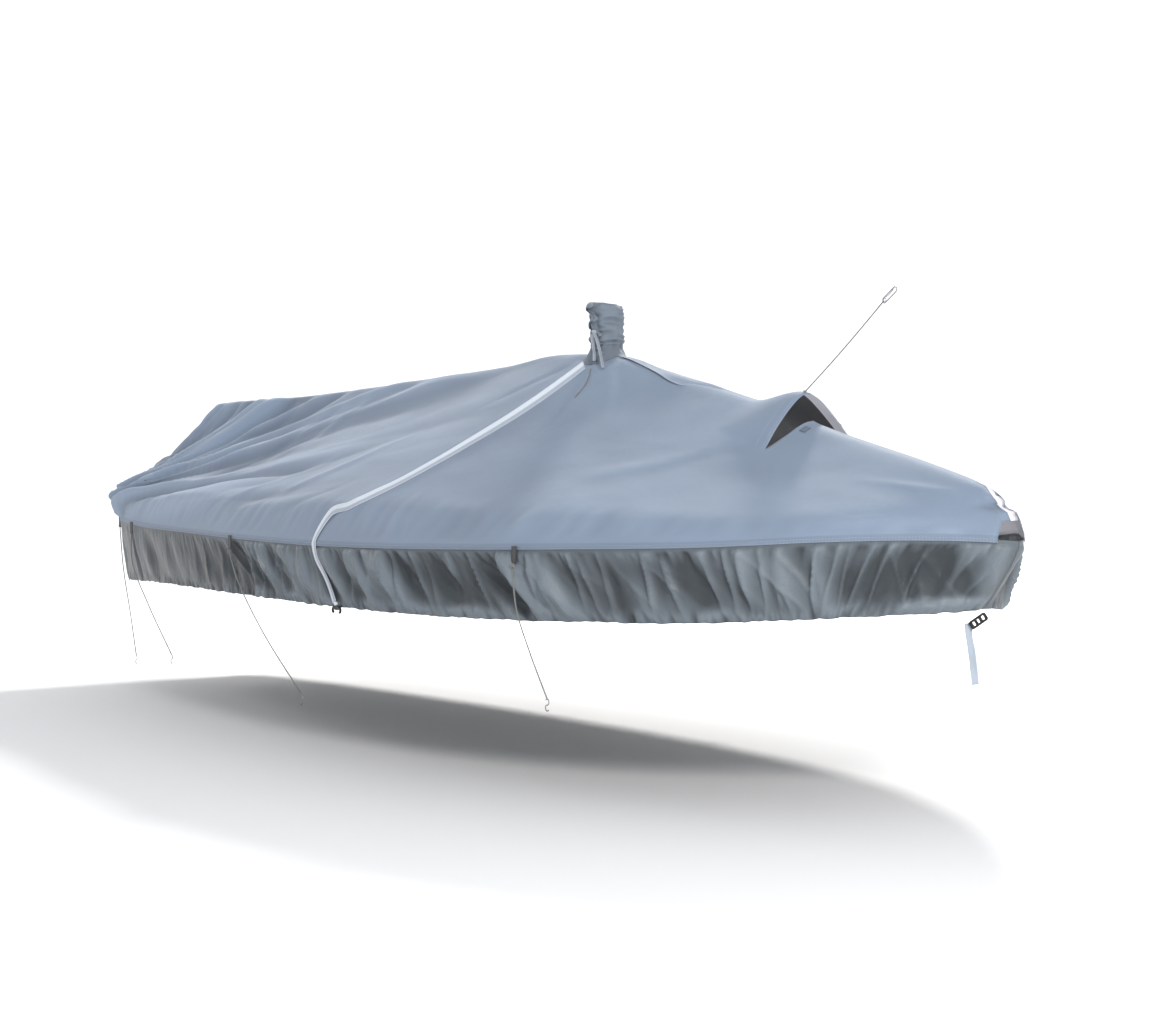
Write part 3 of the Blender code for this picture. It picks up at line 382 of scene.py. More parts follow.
def ear_streaks(side, grid):
    """The finer folds between the long ones, rounded, with narrow valleys, all running to the ear."""
    x, y = grid[..., 0], np.abs(grid[..., 1])
    away = np.hypot(x - EAR[0], EAR[1] - y)
    angle = np.arctan2(EAR[1] - y, x - EAR[0])
    spread = np.stack([angle / 0.115 - 0.25 * away, away / 0.95, np.full(x.shape, 3.0 * side)], -1)
    wide, narrow = rumple(spread, 1.0, 21), rumple(spread * (2.1, 1.2, 1.0), 1.0, 22)
    fade = np.clip(away / 0.36, 0, 1) * (1 - 0.85 * ease((away - 1.3) / 1.3))
    ear = EAR_STRIPES * np.cos(angle / EAR_STRIPE_TURN) * ease(away / 0.12) * (1 - ease((away - 0.25) / 0.45))
    return (STREAK_RISE * (np.abs(wide) - 0.38) + 0.35 * STREAK_RISE * (np.abs(narrow) - 0.38)) * fade + ear


def row_places(side, length):
    """Where the cloth's rows lie, as shares of a section's length. One passes the end of the vent's mouth."""
    mouth = min(MOUTH_HALF[side] * 1.12 / length, 0.38)
    shoulder = max(0.60, 1 - 0.17 / length)
    bands = ((0, mouth, MOUTH_ROWS), (mouth, shoulder, 58), (shoulder, 1, 26))
    return np.concatenate([[0.0], *(np.linspace(a, b, n + 1)[1:] for a, b, n in bands)])


def station(side, run, hood=0.0):
    """One line of the panel from ridge to seam: its points, and their distances down the cloth."""
    x = float(gunwale("x", run))
    line = section(run)
    along = run_along(line)
    first = np.interp(inner_edge(x), line[:, 0], along) if inner_edge(x) else 0.0
    at = first + row_places(side, along[-1] - first) * (along[-1] - first)
    y, z = read_at(at, along, line).T
    slope = np.stack([np.gradient(y, at), np.gradient(z, at)], 1)
    share = at / along[-1]
    rise = long_fold_rise(side, np.full(len(y), x), y) * ease(at / 0.08) * (1 - ease((share - 0.80) / 0.18))
    y, z = y - rise * slope[:, 1], z + rise * slope[:, 0]
    z = z + hood * (1 - np.clip(y / MOUTH_HALF[side], 0, 1) ** MOUTH_CURVE)
    aft = 1 - ease((x - gunwale("x", CORNER_RUN)) / 0.45)
    x_line = x + aft * (-0.10 + 0.035 * share) * (1 - ease((share - 0.80) / 0.2))
    return np.stack([x_line, side * np.maximum(y, SEAM_GAP / 2), z - PEAK_HEIGHT], 1), at


def surface_normals(grid):
    """Outward normals of a grid of points (line, row, xyz)."""
    along, down = np.gradient(grid, axis=0), np.gradient(grid, axis=1)
    normal = np.cross(along, down)
    normal /= np.maximum(np.linalg.norm(normal, axis=2), 1e-9)[..., None]
    centre = np.array([0.0, 0.0, -0.5])
    pointing = ((grid - grid * (1, 0, 0) - centre) * normal).sum(2).mean()
    return normal * (1 if pointing > 0 else -1)


def crease_rise(points, creases):
    """Height that the creases add at each point, looked up in plan."""
    plan = np.stack([points[..., 0], np.abs(points[..., 1])], -1)
    rise = np.zeros(plan.shape[:-1])
    share = np.linspace(0, 1, 26)[:, None]
    for start, middle, end, height, width in creases:
        start, middle, end = (np.array(p) for p in (start, middle, end))
        bend = 2 * middle - (start + end) / 2
        line = (1 - share) ** 2 * start + 2 * share * (1 - share) * bend + share**2 * end
        low, high = line.min(0) - 3 * width, line.max(0) + 3 * width
        near = ((plan > low) & (plan < high)).all(-1)
        gaps = np.linalg.norm(plan[near][:, None] - line[None], axis=2)
        closest = gaps.argmin(1)
        taper = np.sin(np.pi * np.clip(closest / 25, 0.04, 0.96)) ** 0.7
        rise[near] += height * taper * bell(gaps.min(1), width)
    return rise


def rumple(points, size, seed, stretch=(1, 1, 1)):
    """Smooth uneven heights between about -1 and 1, with bumps of about the given size."""
    scale = np.array(stretch) / size
    flat = (points.reshape(-1, 3) * scale) + 17.3 * seed
    return np.array([noise.noise(Vector(p)) for p in flat]).reshape(points.shape[:-1]) * 1.6


def cloth_object(name, grids, flats, thickness, material, marks=(), inner=None):
    """A thin sheet from grids of points (line, row, xyz) that share some points. Its UV map is the flat cloth
    in metres. Its marks are attributes: crest, how far a place stands proud, and hem and faced, 1 at such an
    edge."""
    shell = bmesh.new()
    flat_map = shell.loops.layers.uv.new("Flat cloth")
    layers = {mark: shell.verts.layers.float.new(mark) for mark in dict(marks)}
    for number, (grid, flat) in enumerate(zip(grids, flats)):
        corners = [[shell.verts.new(p) for p in line] for line in grid]
        for mark, values in dict(marks).items():
            for line, heights in zip(corners, values[number]):
                for vert, height in zip(line, heights):
                    vert[layers[mark]] = height
        for i in range(len(corners) - 1):
            for k in range(len(corners[0]) - 1):
                around = ((i, k), (i, k + 1), (i + 1, k + 1), (i + 1, k))
                face = shell.faces.new([corners[a][b] for a, b in around])
                for loop, (a, b) in zip(face.loops, around):
                    loop[flat_map].uv = flat[a][b]
    bmesh.ops.remove_doubles(shell, verts=shell.verts, dist=0.00002)
    bmesh.ops.dissolve_degenerate(shell, edges=shell.edges, dist=0.00002)
    made = formed(name, shell, material, *([inner] if inner else []))
    wall = made.modifiers.new("Thickness", "SOLIDIFY")
    wall.thickness, wall.offset, wall.use_even_offset = thickness, -1.0, False
    if inner:
        wall.material_offset = 1
    return made


def dressed(piece, node_name):
    """Fix a finished piece to the body, in place of the model's own node."""
    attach(piece, "root")
    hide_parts(node_name)


def node(tree, kind, inputs=(), **settings):
    """A shader node with its settings, and its inputs given as values or as other nodes' outputs."""
    made = tree.nodes.new(kind)
    for key, value in settings.items():
        setattr(made, key, value)
    for socket, value in dict(inputs).items():
        if isinstance(value, bpy.types.NodeSocket):
            tree.links.new(value, made.inputs[socket])
        else:
            made.inputs[socket].default_value = value
    return made


def in_model(tree):
    return node(tree, "ShaderNodeTexCoord").outputs["Object"]


def on_flat_cloth(tree):
    return node(tree, "ShaderNodeUVMap", uv_map="Flat cloth").outputs["UV"]


def maths(tree, kind, first, second=0.0):
    return node(tree, "ShaderNodeMath", {0: first, 1: second}, operation=kind).outputs[0]


def graded(tree, value, start, end, low=0.0, high=1.0):
    """A value that goes from low to high while the given one goes from start to end."""
    steps = {"Value": value, "From Min": start, "From Max": end, "To Min": low, "To Max": high}
    return node(tree, "ShaderNodeMapRange", steps).outputs["Result"]


def blotches(tree, place, scale, detail, roughness=0.5):
    spread = {"Vector": place, "Scale": scale, "Detail": detail, "Roughness": roughness}
    return node(tree, "ShaderNodeTexNoise", spread).outputs["Fac"]


def thread_rows(tree, flat, spacing, distortion, across, detail_scale=1.0):
    """Rows of threads at the given spacing. A band of the wave texture is 0.32 / scale wide."""
    rows = {"Vector": flat, "Scale": 0.32 / spacing, "Distortion": distortion, "Detail Scale": detail_scale}
    return node(tree, "ShaderNodeTexWave", rows, bands_direction=across).outputs["Fac"]


def marked(tree, name):
    """One of the piece's marks, from 0 to 1 or as a height."""
    return node(tree, "ShaderNodeAttribute", attribute_name=name).outputs["Fac"]


def two_tone(tree, share, first, second):
    tones = {"Fac": share, "Color1": (*first, 1), "Color2": (*second, 1)}
    return node(tree, "ShaderNodeMixRGB", tones).outputs["Color"]


def relief(tree, height, distance, strength, **under):
    raised = {"Height": height, "Distance": distance, "Strength": strength, **under}
    return node(tree, "ShaderNodeBump", raised).outputs["Normal"]


def wire_in(shader, outputs):
    """Lead the given outputs to the shader's sockets."""
    for socket, output in outputs.items():
        shader.id_data.links.new(output, shader.inputs[socket])


def woven(
    name, colour, thread, weave_depth, roughness, sheen, mottle, crumple_depth,
    painted_fold_shades=(0.84, 1.13), facing=None,
):
    """Cloth of crossing threads, a little uneven in colour, with painted highlight and shade on its folds."""
    settings = {"Roughness": roughness, "Sheen Weight": sheen, "Sheen Roughness": 0.4}
    made, tree, shader = surface(name, settings)
    place = in_model(tree)
    flat = on_flat_cloth(tree)
    warp, weft = (thread_rows(tree, flat, thread, 0.6, across, 3.0) for across in "XY")
    weave = maths(tree, "MULTIPLY", warp, weft)
    uneven = maths(tree, "ADD", blotches(tree, place, 2.3, 5.0), blotches(tree, flat, 260.0, 2.0))
    shade = graded(tree, uneven, 0.6, 1.4, 1 - mottle, 1 + mottle)
    # Painted highlight on crests, painted shade in hollows and along hems; darker between its threads.
    for other in (
        graded(tree, marked(tree, "crest"), -0.012, 0.012, *painted_fold_shades),
        graded(tree, marked(tree, "hem"), 0.48, 0.52, 1.0, 0.86),
        graded(tree, weave, 0.0, 1.0, 0.93, 1.05),
    ):
        shade = maths(tree, "MULTIPLY", shade, other)
    # On the inner face: painted near black as shade, with the cloth's own pale colour where faced.
    if facing is not None:
        colour = two_tone(tree, graded(tree, marked(tree, "faced"), 0.49, 0.51), colour, facing)
    scaled = {0: colour, "Scale": shade}
    tint = node(tree, "ShaderNodeVectorMath", scaled, operation="SCALE").outputs["Vector"]
    crumple = relief(tree, blotches(tree, place, 22.0, 4.0, 0.6), crumple_depth, 1.0)
    fine = relief(tree, weave, weave_depth, 0.6, Normal=crumple)
    wire_in(shader, {"Base Color": tint, "Normal": fine})
    return made


def main_panel(side):
    near_mast, aft_of_mast = MAST_HOLE + 0.019, -1.20
    to_hood, to_mast = np.linspace(MOUTH_X, HOOD_START, 20), np.linspace(HOOD_START, near_mast, 42)
    past_mast, to_ear = np.linspace(-near_mast, aft_of_mast, 66), np.linspace(aft_of_mast, -2.70, 110)
    round_mast = MAST_HOLE * np.cos(np.linspace(0, math.pi, 17))
    after_x = np.concatenate([to_hood, to_mast[1:], round_mast, past_mast, to_ear[1:]])
    beside_notch = NOTCH_X + np.linspace(0, 0.03, 6)[1:] ** 2 / 0.03
    to_notch, past_notch = np.linspace(MOUTH_X, NOTCH_X, 44), np.linspace(1.64, TOP_FRONT_X, 5)
    fore_x = np.concatenate([to_notch, beside_notch, past_notch])
    aft = []
    for x in after_x:
        hood = HOOD_RISE * float(ease((x - HOOD_START) / (MOUTH_X - HOOD_START))) if x > HOOD_START else 0.0
        aft.append((run_at(x), *station(side, run_at(x), hood)))
    aft.append((CORNER_RUN, *station(side, CORNER_RUN)))
    fore = [(run_at(x), *station(side, run_at(x))) for x in fore_x]
    lip = 1 - np.clip(np.abs(fore[0][1][:, 1]) / MOUTH_HALF[side], 0, 1) ** 2
    fore[0][1][:, 0] += 0.012 * lip
    grids, flats, fold_shading, faced = [], [], [], []
    for lines in (aft, fore[::-1]):
        grid = np.array([line for _, line, _ in lines])
        edge = np.where(np.abs(grid[..., 1]) < 1.15 * MOUTH_HALF[side], np.abs(grid[..., 0] - MOUTH_X), 1.0)
        edge = np.minimum(edge, np.maximum(NOTCH_FACING_X - grid[..., 0], 0.0))
        faced.append(np.clip(1 - edge / (2 * FACING), 0, 1))
        flat = np.array([np.stack([np.full(len(at), run), at], 1) for run, _, at in lines])
        normal = surface_normals(grid)
        share = flat[..., 1] / flat[:, -1:, 1]
        taut = 1 - ease((share - 0.86) / 0.12)
        fold = crease_rise(grid, CREASES[side]) * taut * ease(flat[..., 1] / 0.05)
        on_shoulder = ease((share - 0.84) / 0.14) * ease((grid[..., 0] + 2.50) / 0.9)
        streaks = ear_streaks(side, grid) * (1 - on_shoulder)
        broad, fine = rumple(grid, 0.33, 1), rumple(grid, 0.10, 2, (0.6, 1, 1))
        slack = SLACK_BROAD * broad + SLACK_FINE * fine + streaks
        # Over the shoulder the cloth is pulled down in short soft puckers.
        slack += bell(share - 0.90, 0.07) * SHOULDER_PUCKER * rumple(grid, 0.060, 3, (1.4, 0.3, 0.3))
        slack *= ease(flat[..., 1] / 0.04) * (1 - ease((share - 0.96) / 0.04))
        settled = np.abs(grid[..., 1]) > 0.05
        slack *= np.where((np.abs(grid[..., 0]) < 0.12) & ~settled, 0.2, 1.0)
        # Beside the notch at the bow the cloth is tucked in.
        tuck_x, tuck_z, tuck_depth = TUCK
        beside, above = grid[..., 0] - tuck_x - 0.02, grid[..., 2] + PEAK_HEIGHT - tuck_z
        height = fold + slack - tuck_depth * bell(beside, 0.035) * bell(above, 0.009)
        grids.append(grid + normal * (height + SOLID_CLOTH - 0.0006)[..., None])
        flats.append(flat)
        # Painted highlight and shade: the colour follows the folds' heights, the long folds counting more.
        fold_shading.append(height + 0.6 * long_fold_rise(side, grid[..., 0], np.abs(grid[..., 1])))
    # The two edges that lie together past the mouth stay joined.
    grids[1][-1, MOUTH_ROWS:] = grids[0][0, MOUTH_ROWS:]
    corner = grids[0][-1].copy()
    in_mouth = slice(MOUTH_ROWS + 1)
    mouth_rows = [grids[0][1, in_mouth], grids[0][3, in_mouth], grids[1][-2, in_mouth]]
    # To starboard the upper edge laps over the other panel's at the ridge. The lower edges lap over the
    # skirts.
    lapped = []
    for grid, flat, fold_shading_grid, faced_grid in zip(grids, flats, fold_shading, faced):
        if side == STARBOARD:
            past_hole = ease((np.abs(grid[:, 0, 0]) - MAST_HOLE - 0.004) / 0.03)
            over = RIDGE_LAP * past_hole * (1 - ease((grid[:, 0, 0] - 1.56) / 0.03))
            for part in (0.5, 1.0):
                near_ridge = zip(grid[:, :12], over * part)
                beyond = [
                    [np.interp(reach, -line[:, 1], line[:, k]) for k in range(3)]
                    for line, reach in near_ridge
                ]
                beyond = np.array(beyond) * (1, -1, 1) + (over > 0)[:, None] * (0, 0, 0.0014)
                grid = np.concatenate([beyond[:, None], grid], 1)
                flat = np.concatenate([flat[:, :1] - (0, RIDGE_LAP / 2), flat], 1)
                fold_shading_grid = np.concatenate([fold_shading_grid[:, :1], fold_shading_grid], 1)
                faced_grid = np.concatenate([faced_grid[:, :1], faced_grid], 1)
        sideways = grid[:, -1] * (0, 1, 0)
        sideways /= np.linalg.norm(sideways, axis=1)[:, None]
        steps = (0.4, 0.8, 1.0)
        extra = [grid[:, -1] + sideways * 0.0006 * step - (0, 0, LAP * step) for step in steps]
        extra_flat = [flat[:, -1] + (0, LAP * step) for step in steps]
        grid = np.concatenate([grid, np.stack(extra, 1)], 1)
        faced_grid = np.concatenate([faced_grid, np.repeat(faced_grid[:, -1:], 3, 1)], 1)
        up = np.linalg.norm(grid - grid[:, -1:], axis=2)
        flat = np.concatenate([flat, np.stack(extra_flat, 1)], 1)
        fold_shading_grid = np.concatenate([fold_shading_grid, np.zeros((len(grid), 3))], 1)
        lapped.append((grid, flat, fold_shading_grid, np.clip(1 - up / (2 * HEM_BAND), 0, 1), faced_grid))
    grids, flats, fold_shading, hem, faced = zip(*lapped)
    marks = {"crest": fold_shading, "hem": hem, "faced": faced}
    name = f"main_panel_{SIDE_NAMES[side]}"
    made = cloth_object(name, grids, flats, CLOTH, top_cloth, marks, inner_painted_shade)
    if side == STARBOARD:
        made.data.flip_normals()
    whole = np.concatenate([grids[1][:-1], grids[0]])
    stitched = {"gunwale": [whole[:, -4], whole[:, -2]], "mouth": mouth_rows, "corner": corner}
    if side == STARBOARD:
        aft_lap, fore_lap = grids[0][:, 1], grids[1][:, 1]
        clear_of_mast = (aft_lap[aft_lap[:, 0] > 0.09], aft_lap[aft_lap[:, 0] < -0.09])
        stitched["ridge"] = [*clear_of_mast, fore_lap[fore_lap[:, 0] < 1.55]]
    return made, stitched


top_cloth = woven(
    "light blue-grey cloth", TOP_COLOUR, thread=0.0016, weave_depth=0.0003, roughness=0.72, sheen=0.15,
    mottle=0.06, crumple_depth=0.0012, painted_fold_shades=(0.76, 1.20),
)
# Painted shade: the inner face is near black, save near the mouth and the bow notch.
inner_painted_shade = woven(
    "inner face painted dark as shade", INNER_SHADE_COLOUR, thread=0.0016, weave_depth=0.0002, roughness=0.65, sheen=0.05,
    mottle=0.05, crumple_depth=0.0010, painted_fold_shades=(0.95, 1.05), facing=FACING_COLOUR,
)
main_panels, stitched_lines = {}, {}
for side in (STARBOARD, PORT):
    main_panels[side], stitched_lines[side] = main_panel(side)
    dressed(main_panels[side], f"top_{SIDE_NAMES[side]}")


# The aft panel: a triangle of the same cloth between the two main panels, from the end of the
# ridge down to the transom. It hangs slack, in upright folds.
def aft_panel():
    near, far = (stitched_lines[side]["corner"] - (SEAM_GAP, 0, 0) for side in (STARBOARD, PORT))
    drop = run_along(near)
    width = np.abs(far[:, 1] - near[:, 1])
    lines, flats = [], []
    for share in np.linspace(0, 1, 90):
        line = near + share * (far - near)
        across = 4 * share * (1 - share)
        folds = 0.012 * np.sin(share * math.pi * 5) * np.sin(share * math.pi)
        line[:, 0] += np.minimum(width, 0.5) * (0.03 * across + folds)
        lines.append(line)
        flats.append(np.stack([share * width, drop], 1))
    grid, flat = np.array(lines), np.array(flats)
    aft = np.array([-1.0, 0.0, 0.15]) / np.hypot(1.0, 0.15)
    edge = np.sin(np.pi * np.linspace(0, 1, 90))[:, None] * np.minimum(width, 0.2) / 0.2
    slack = (0.004 * rumple(grid, 0.12, 4, (1, 1, 0.5)) + 0.002 * rumple(grid, 0.05, 5, (1, 1, 0.4))) * edge
    grid = grid + aft * slack[..., None]
    hem = grid[:, -1:] - np.array([[0, 0, LAP * s] for s in (0.5, 1.0)]) + (-0.0006, 0, 0)
    grid = np.concatenate([grid, hem], 1)
    flat = np.concatenate([flat, flat[:, -1:] + np.array([[0, LAP * s] for s in (0.5, 1.0)])], 1)
    # Painted highlight and shade follow the folds' heights.
    fold_shading = np.concatenate([slack, np.zeros((90, 2))], 1)
    up = np.linalg.norm(grid - grid[:, -1:], axis=2)
    marks = {"crest": [fold_shading], "hem": [np.clip(1 - up / (2 * HEM_BAND), 0, 1)]}
    made = cloth_object("aft_panel", [grid], [flat], CLOTH, top_cloth, marks, inner_painted_shade)
    made.data.flip_normals()
    return made, [grid[:, -4], grid[:, -2]]


stern_cloth, stern_lines = aft_panel()
dressed(stern_cloth, "top_aft")


# The skirts: strips of thin dark grey coated cloth sewn under the gunwale seam, one a side, from the middle
# of the transom round to the stem. A drawcord in the hem gathers them under the gunwale, so that they hang in
# slanting folds, with small puckers at the seam and bunches at the hem.
SKIRT_FOLDS = table(
    "start pitch depth lean",
    (0.00, 0.080, 0.008, 0.00),
    (0.32, 0.105, 0.013, -0.03),
    (0.80, 0.120, 0.018, 0.10),
    (1.60, 0.155, 0.025, 0.16),
    (2.75, 0.140, 0.023, 0.14),
    (4.10, 0.120, 0.018, 0.04),
    (4.60, 0.140, 0.014, 0.00),
)
SKIRT_ROWS = ((0.0, 0.0), (0.18, 0.65), (0.52, 1.0), (0.87, 0.75), (1.0, 0.35))
ENDS_TURN_AT, STEM_RAKE = (-2.30, 1.20), 0.020
SKIRT_LINES, SKIRT_DOWN, SKIRT_FLAT_DROP = 900, 44, 0.19
SKIRT_THICKNESS = 0.0006
# Aft the finer folds are nearly flat. From here on they grow, and they are full amidships.
AFT_FULLNESS, FULLER_FROM, FULL_WITHIN = 0.10, -1.6, 0.9
LOOPS_AT = (0.6055, -1.015, -2.2505, -2.7155)
# Heights of the finer folds, of the puckers at the seam and at the hem, and of the bunches over the hem.
HUNG_FOLDS, BROAD_FOLDS, CROSSED_FOLDS, SMALL_FOLDS = 0.0160, 0.024, 0.0095, 0.0032
SEAM_PUCKERS, HEM_PUCKERS, HEM_BUNCHES = 0.0062, 0.0078, 0.011
SKIRT_COLOUR = (0.108, 0.127, 0.146)


def seam_drop(run):
    tuck = np.clip(-gunwale("shoulder_in", run) / 0.06, 0, 1)
    return SEAM_GAP + 0.8 * SOLID_CLOTH * tuck


def fold_runs():
    starts = SKIRT_FOLDS["start"]
    runs = [0.0]
    for start, pitch, end in zip(starts, SKIRT_FOLDS["pitch"], [*starts[1:], GUNWALE_RUN[-1]]):
        count = max(2, round((end - start) / (pitch / 2)))
        runs += list(np.linspace(start, end, count + 1)[1:])
    return np.array(runs)


def uneven(k):
    """A fixed, unequal weight for the k-th fold, between 0.35 and 1."""
    return 0.675 + 0.325 * math.sin(12.9 * k + 4.1 * math.sin(1.7 * k))


def skirt(side):
    starts, knots = SKIRT_FOLDS["start"], fold_runs()
    ends = ease(knots / 0.05) * ease((knots[-1] - knots - 0.07) / 0.05)
    first = 0 if side == STARBOARD else 1
    crests = np.array([(1 if (k + first) % 2 else -1) * uneven(k + 7 * side) for k in range(len(knots))])
    crests *= np.interp(knots, starts, SKIRT_FOLDS["depth"]) * ends
    run = np.linspace(0, knots[-1], SKIRT_LINES)[:, None]
    down = (np.linspace(0, 1, SKIRT_DOWN) ** 0.92)[None, :]
    free = ease(run / 0.05) * ease((knots[-1] - run - 0.07) / 0.05)
    clear_of_lap = ease((down - 0.045) / 0.07)
    lean = np.interp(run, starts, SKIRT_FOLDS["lean"]) * free
    at = np.clip(run - lean * down, 0, knots[-1])
    flat = np.stack([at + 0 * down, down * gunwale("skirt_drop", at)], -1)
    x, y, z = (gunwale(name, at) for name in "xyz")
    out_x, out_y = x - np.clip(x, *ENDS_TURN_AT), y
    size = np.hypot(out_x, out_y)
    out_x, out_y = out_x / size, out_y / size
    # The solid's folds, made round. They are full only at the sewn loops, and softer and uneven between them.
    share = np.interp(down, *zip(*SKIRT_ROWS))
    between = np.interp(run, knots, np.arange(len(knots)))
    low = np.floor(between).astype(int).clip(0, len(knots) - 2)
    swing = ease(between - low)
    fullness = AFT_FULLNESS + (1 - AFT_FULLNESS) * ease((x - FULLER_FROM) / FULL_WITHIN)
    at_loops = sum(bell(x - place, 0.06) for place in LOOPS_AT)
    along_seam = np.stack([run + 0 * down, 0 * at, 0 * at + side], -1)
    fold = (crests[low] * (1 - swing) + crests[low + 1] * swing) * share
    fold *= np.clip(0.45 + 0.35 * rumple(along_seam, 0.30, 19) + at_loops, 0.2, 1.0)
    fold *= np.clip(fullness + 0.25 + at_loops, 0, 1)

    def slanted(slant, apart):
        """Places on the flat strip, slanted, from which a set of finer folds is drawn."""
        drop = SKIRT_FLAT_DROP * down
        return np.stack([run + slant * drop, drop + 0 * run, np.full(at.shape, apart)], -1)

    # Finer folds between those, hanging, crossing and broad, and puckers and bunches at the two sewn edges.
    hung, crossed, broad = slanted(-0.35, 0.5 * side), slanted(0.55, 5.0 + side), slanted(0.4, 9.0 + side)
    middle = np.sin(np.pi * down)
    sharp = 1 - np.abs(rumple(hung, 0.060, 6, (1.0, 0.17, 1)))
    finer = HUNG_FOLDS * fullness * (sharp**4 - 0.35) * np.sin(np.pi * np.clip(down * 0.9 + 0.08, 0, 1))
    finer += BROAD_FOLDS * (0.35 + 0.65 * fullness) * rumple(broad, 0.15, 18, (1.0, 0.25, 1)) * middle
    crossing = 1 - np.abs(rumple(crossed, 0.075, 16, (1.0, 0.3, 1)))
    in_places = np.clip(rumple(hung, 0.35, 17, (1, 0.2, 1)) + 0.4, 0, 1)
    finer += CROSSED_FOLDS * fullness * (crossing**4 - 0.3) * middle * in_places
    small = rumple(hung, 0.030, 7, (1.0, 0.35, 1)) * np.sin(np.pi * np.clip(down + 0.02, 0, 1))
    finer += SMALL_FOLDS * (0.2 + 0.8 * fullness) * small
    at_seam = rumple(hung, 0.016, 8, (1.0, 0.12, 1)) + 0.2
    pucker = SEAM_PUCKERS * (0.25 + 0.75 * fullness) * at_seam * bell(down, 0.20)
    at_hem = 0.5 - np.abs(rumple(hung, 0.024, 9, (1.0, 0.35, 1)))
    pucker += HEM_PUCKERS * (0.55 + 0.45 * fullness) * at_hem * bell(down - 0.95, 0.09)
    bunched = np.maximum(rumple(hung, 0.11, 10, (1.0, 0.4, 1)), 0)
    pucker += HEM_BUNCHES * fullness * bunched * bell(down - 0.90, 0.09)
    pucker *= free * clear_of_lap
    height = (fold + finer * free) * clear_of_lap + pucker
    tuck = (gunwale("skirt_in", at) + STEM_RAKE * ease(1 - at / 0.16)) * down**1.3
    skin = SOLID_CLOTH * (0.25 + 0.75 * ease(down / 0.12)) - 0.0006
    x, y = x + out_x * (height + skin - tuck), y + out_y * (height + skin - tuck)
    # Painted highlight and shade follow the folds and puckers; aft it is painted darker as shade.
    fold_shading = height + 1.6 * pucker - 0.0125 * (1 - fullness)
    low_edge = 0.0026 * rumple(hung, 0.035, 11, (1.0, 0.0, 1)) * ease((down - 0.7) / 0.3) * free
    z = z - gunwale("skirt_drop", at) * down - seam_drop(at) * (1 - down) + low_edge
    grid = np.stack([x, side * np.maximum(y, SEAM_GAP / 2), z - PEAK_HEIGHT], -1)
    name = f"gathered_skirt_{SIDE_NAMES[side]}"
    made = cloth_object(name, [grid], [flat], SKIRT_THICKNESS, skirt_cloth, {"crest": [fold_shading]})
    if side == STARBOARD:
        made.data.flip_normals()
    return made


skirt_cloth = woven(
    "thin dark grey cloth", SKIRT_COLOUR, thread=0.0012, weave_depth=0.0002, roughness=0.36, sheen=0.02,
    mottle=0.08, crumple_depth=0.0026, painted_fold_shades=(0.44, 1.58),
)
skirt_cloth.node_tree.nodes["Principled BSDF"].inputs["Specular IOR Level"].default_value = 0.32
skirts = {}
for side in (STARBOARD, PORT):
    skirts[side] = skirt(side)
    dressed(skirts[side], f"skirt_{SIDE_NAMES[side]}")


# The collar: an upright sleeve of the top's cloth, gathered in at its foot and slit down one side. The slit's
# two edges stand out in a ruffle, and the sleeve is crumpled in rings where it has been pulled down.
COLLAR_WAIST, COLLAR_PLEATS = 0.590, 7
COLLAR_SLIT_GAP, COLLAR_LIP = 0.010, 0.021
COLLAR_FOOT_ROWS = ((0.073, 0.0), (0.064, 0.22), (0.053, 0.68))
COLLAR_SLEEVE = table(
    "radius height pleat wave bearing",
    (0.046, 0.590, 0.05, 0.001, -62),
    (0.052, 0.606, 0.04, 0.003, -64),
    (0.049, 0.632, 0.03, 0.002, -69),
    (0.051, 0.668, 0.02, 0.003, -80),
    (0.049, 0.696, 0.03, 0.003, -92),
    (0.050, 0.717, 0.05, 0.0015, -99),
)
COLLAR_ROUND, COLLAR_UP = 200, 84
COLLAR_TILT, COLLAR_LOW_SIDE = 0.010, math.radians(55)
COLLAR_RINGS, COLLAR_GATHERS, COLLAR_RIM = 0.0040, 0.0026, 0.0030
THIN_CLOTH = 0.0009


def faces_of(*pieces):
    """The finished faces of the given pieces, to lay other pieces on."""
    graph = bpy.context.evaluated_depsgraph_get()
    shell = bmesh.new()
    for piece in pieces:
        shell.from_mesh(piece.evaluated_get(graph).data)
    tree = BVHTree.FromBMesh(shell)
    shell.free()
    return tree


def height_of(tree, x, y):
    hit = tree.ray_cast(Vector((x, y, 1.0)), Vector((0, 0, -1)))[0]
    return None if hit is None else hit.z


on_top = faces_of(*main_panels.values(), stern_cloth)


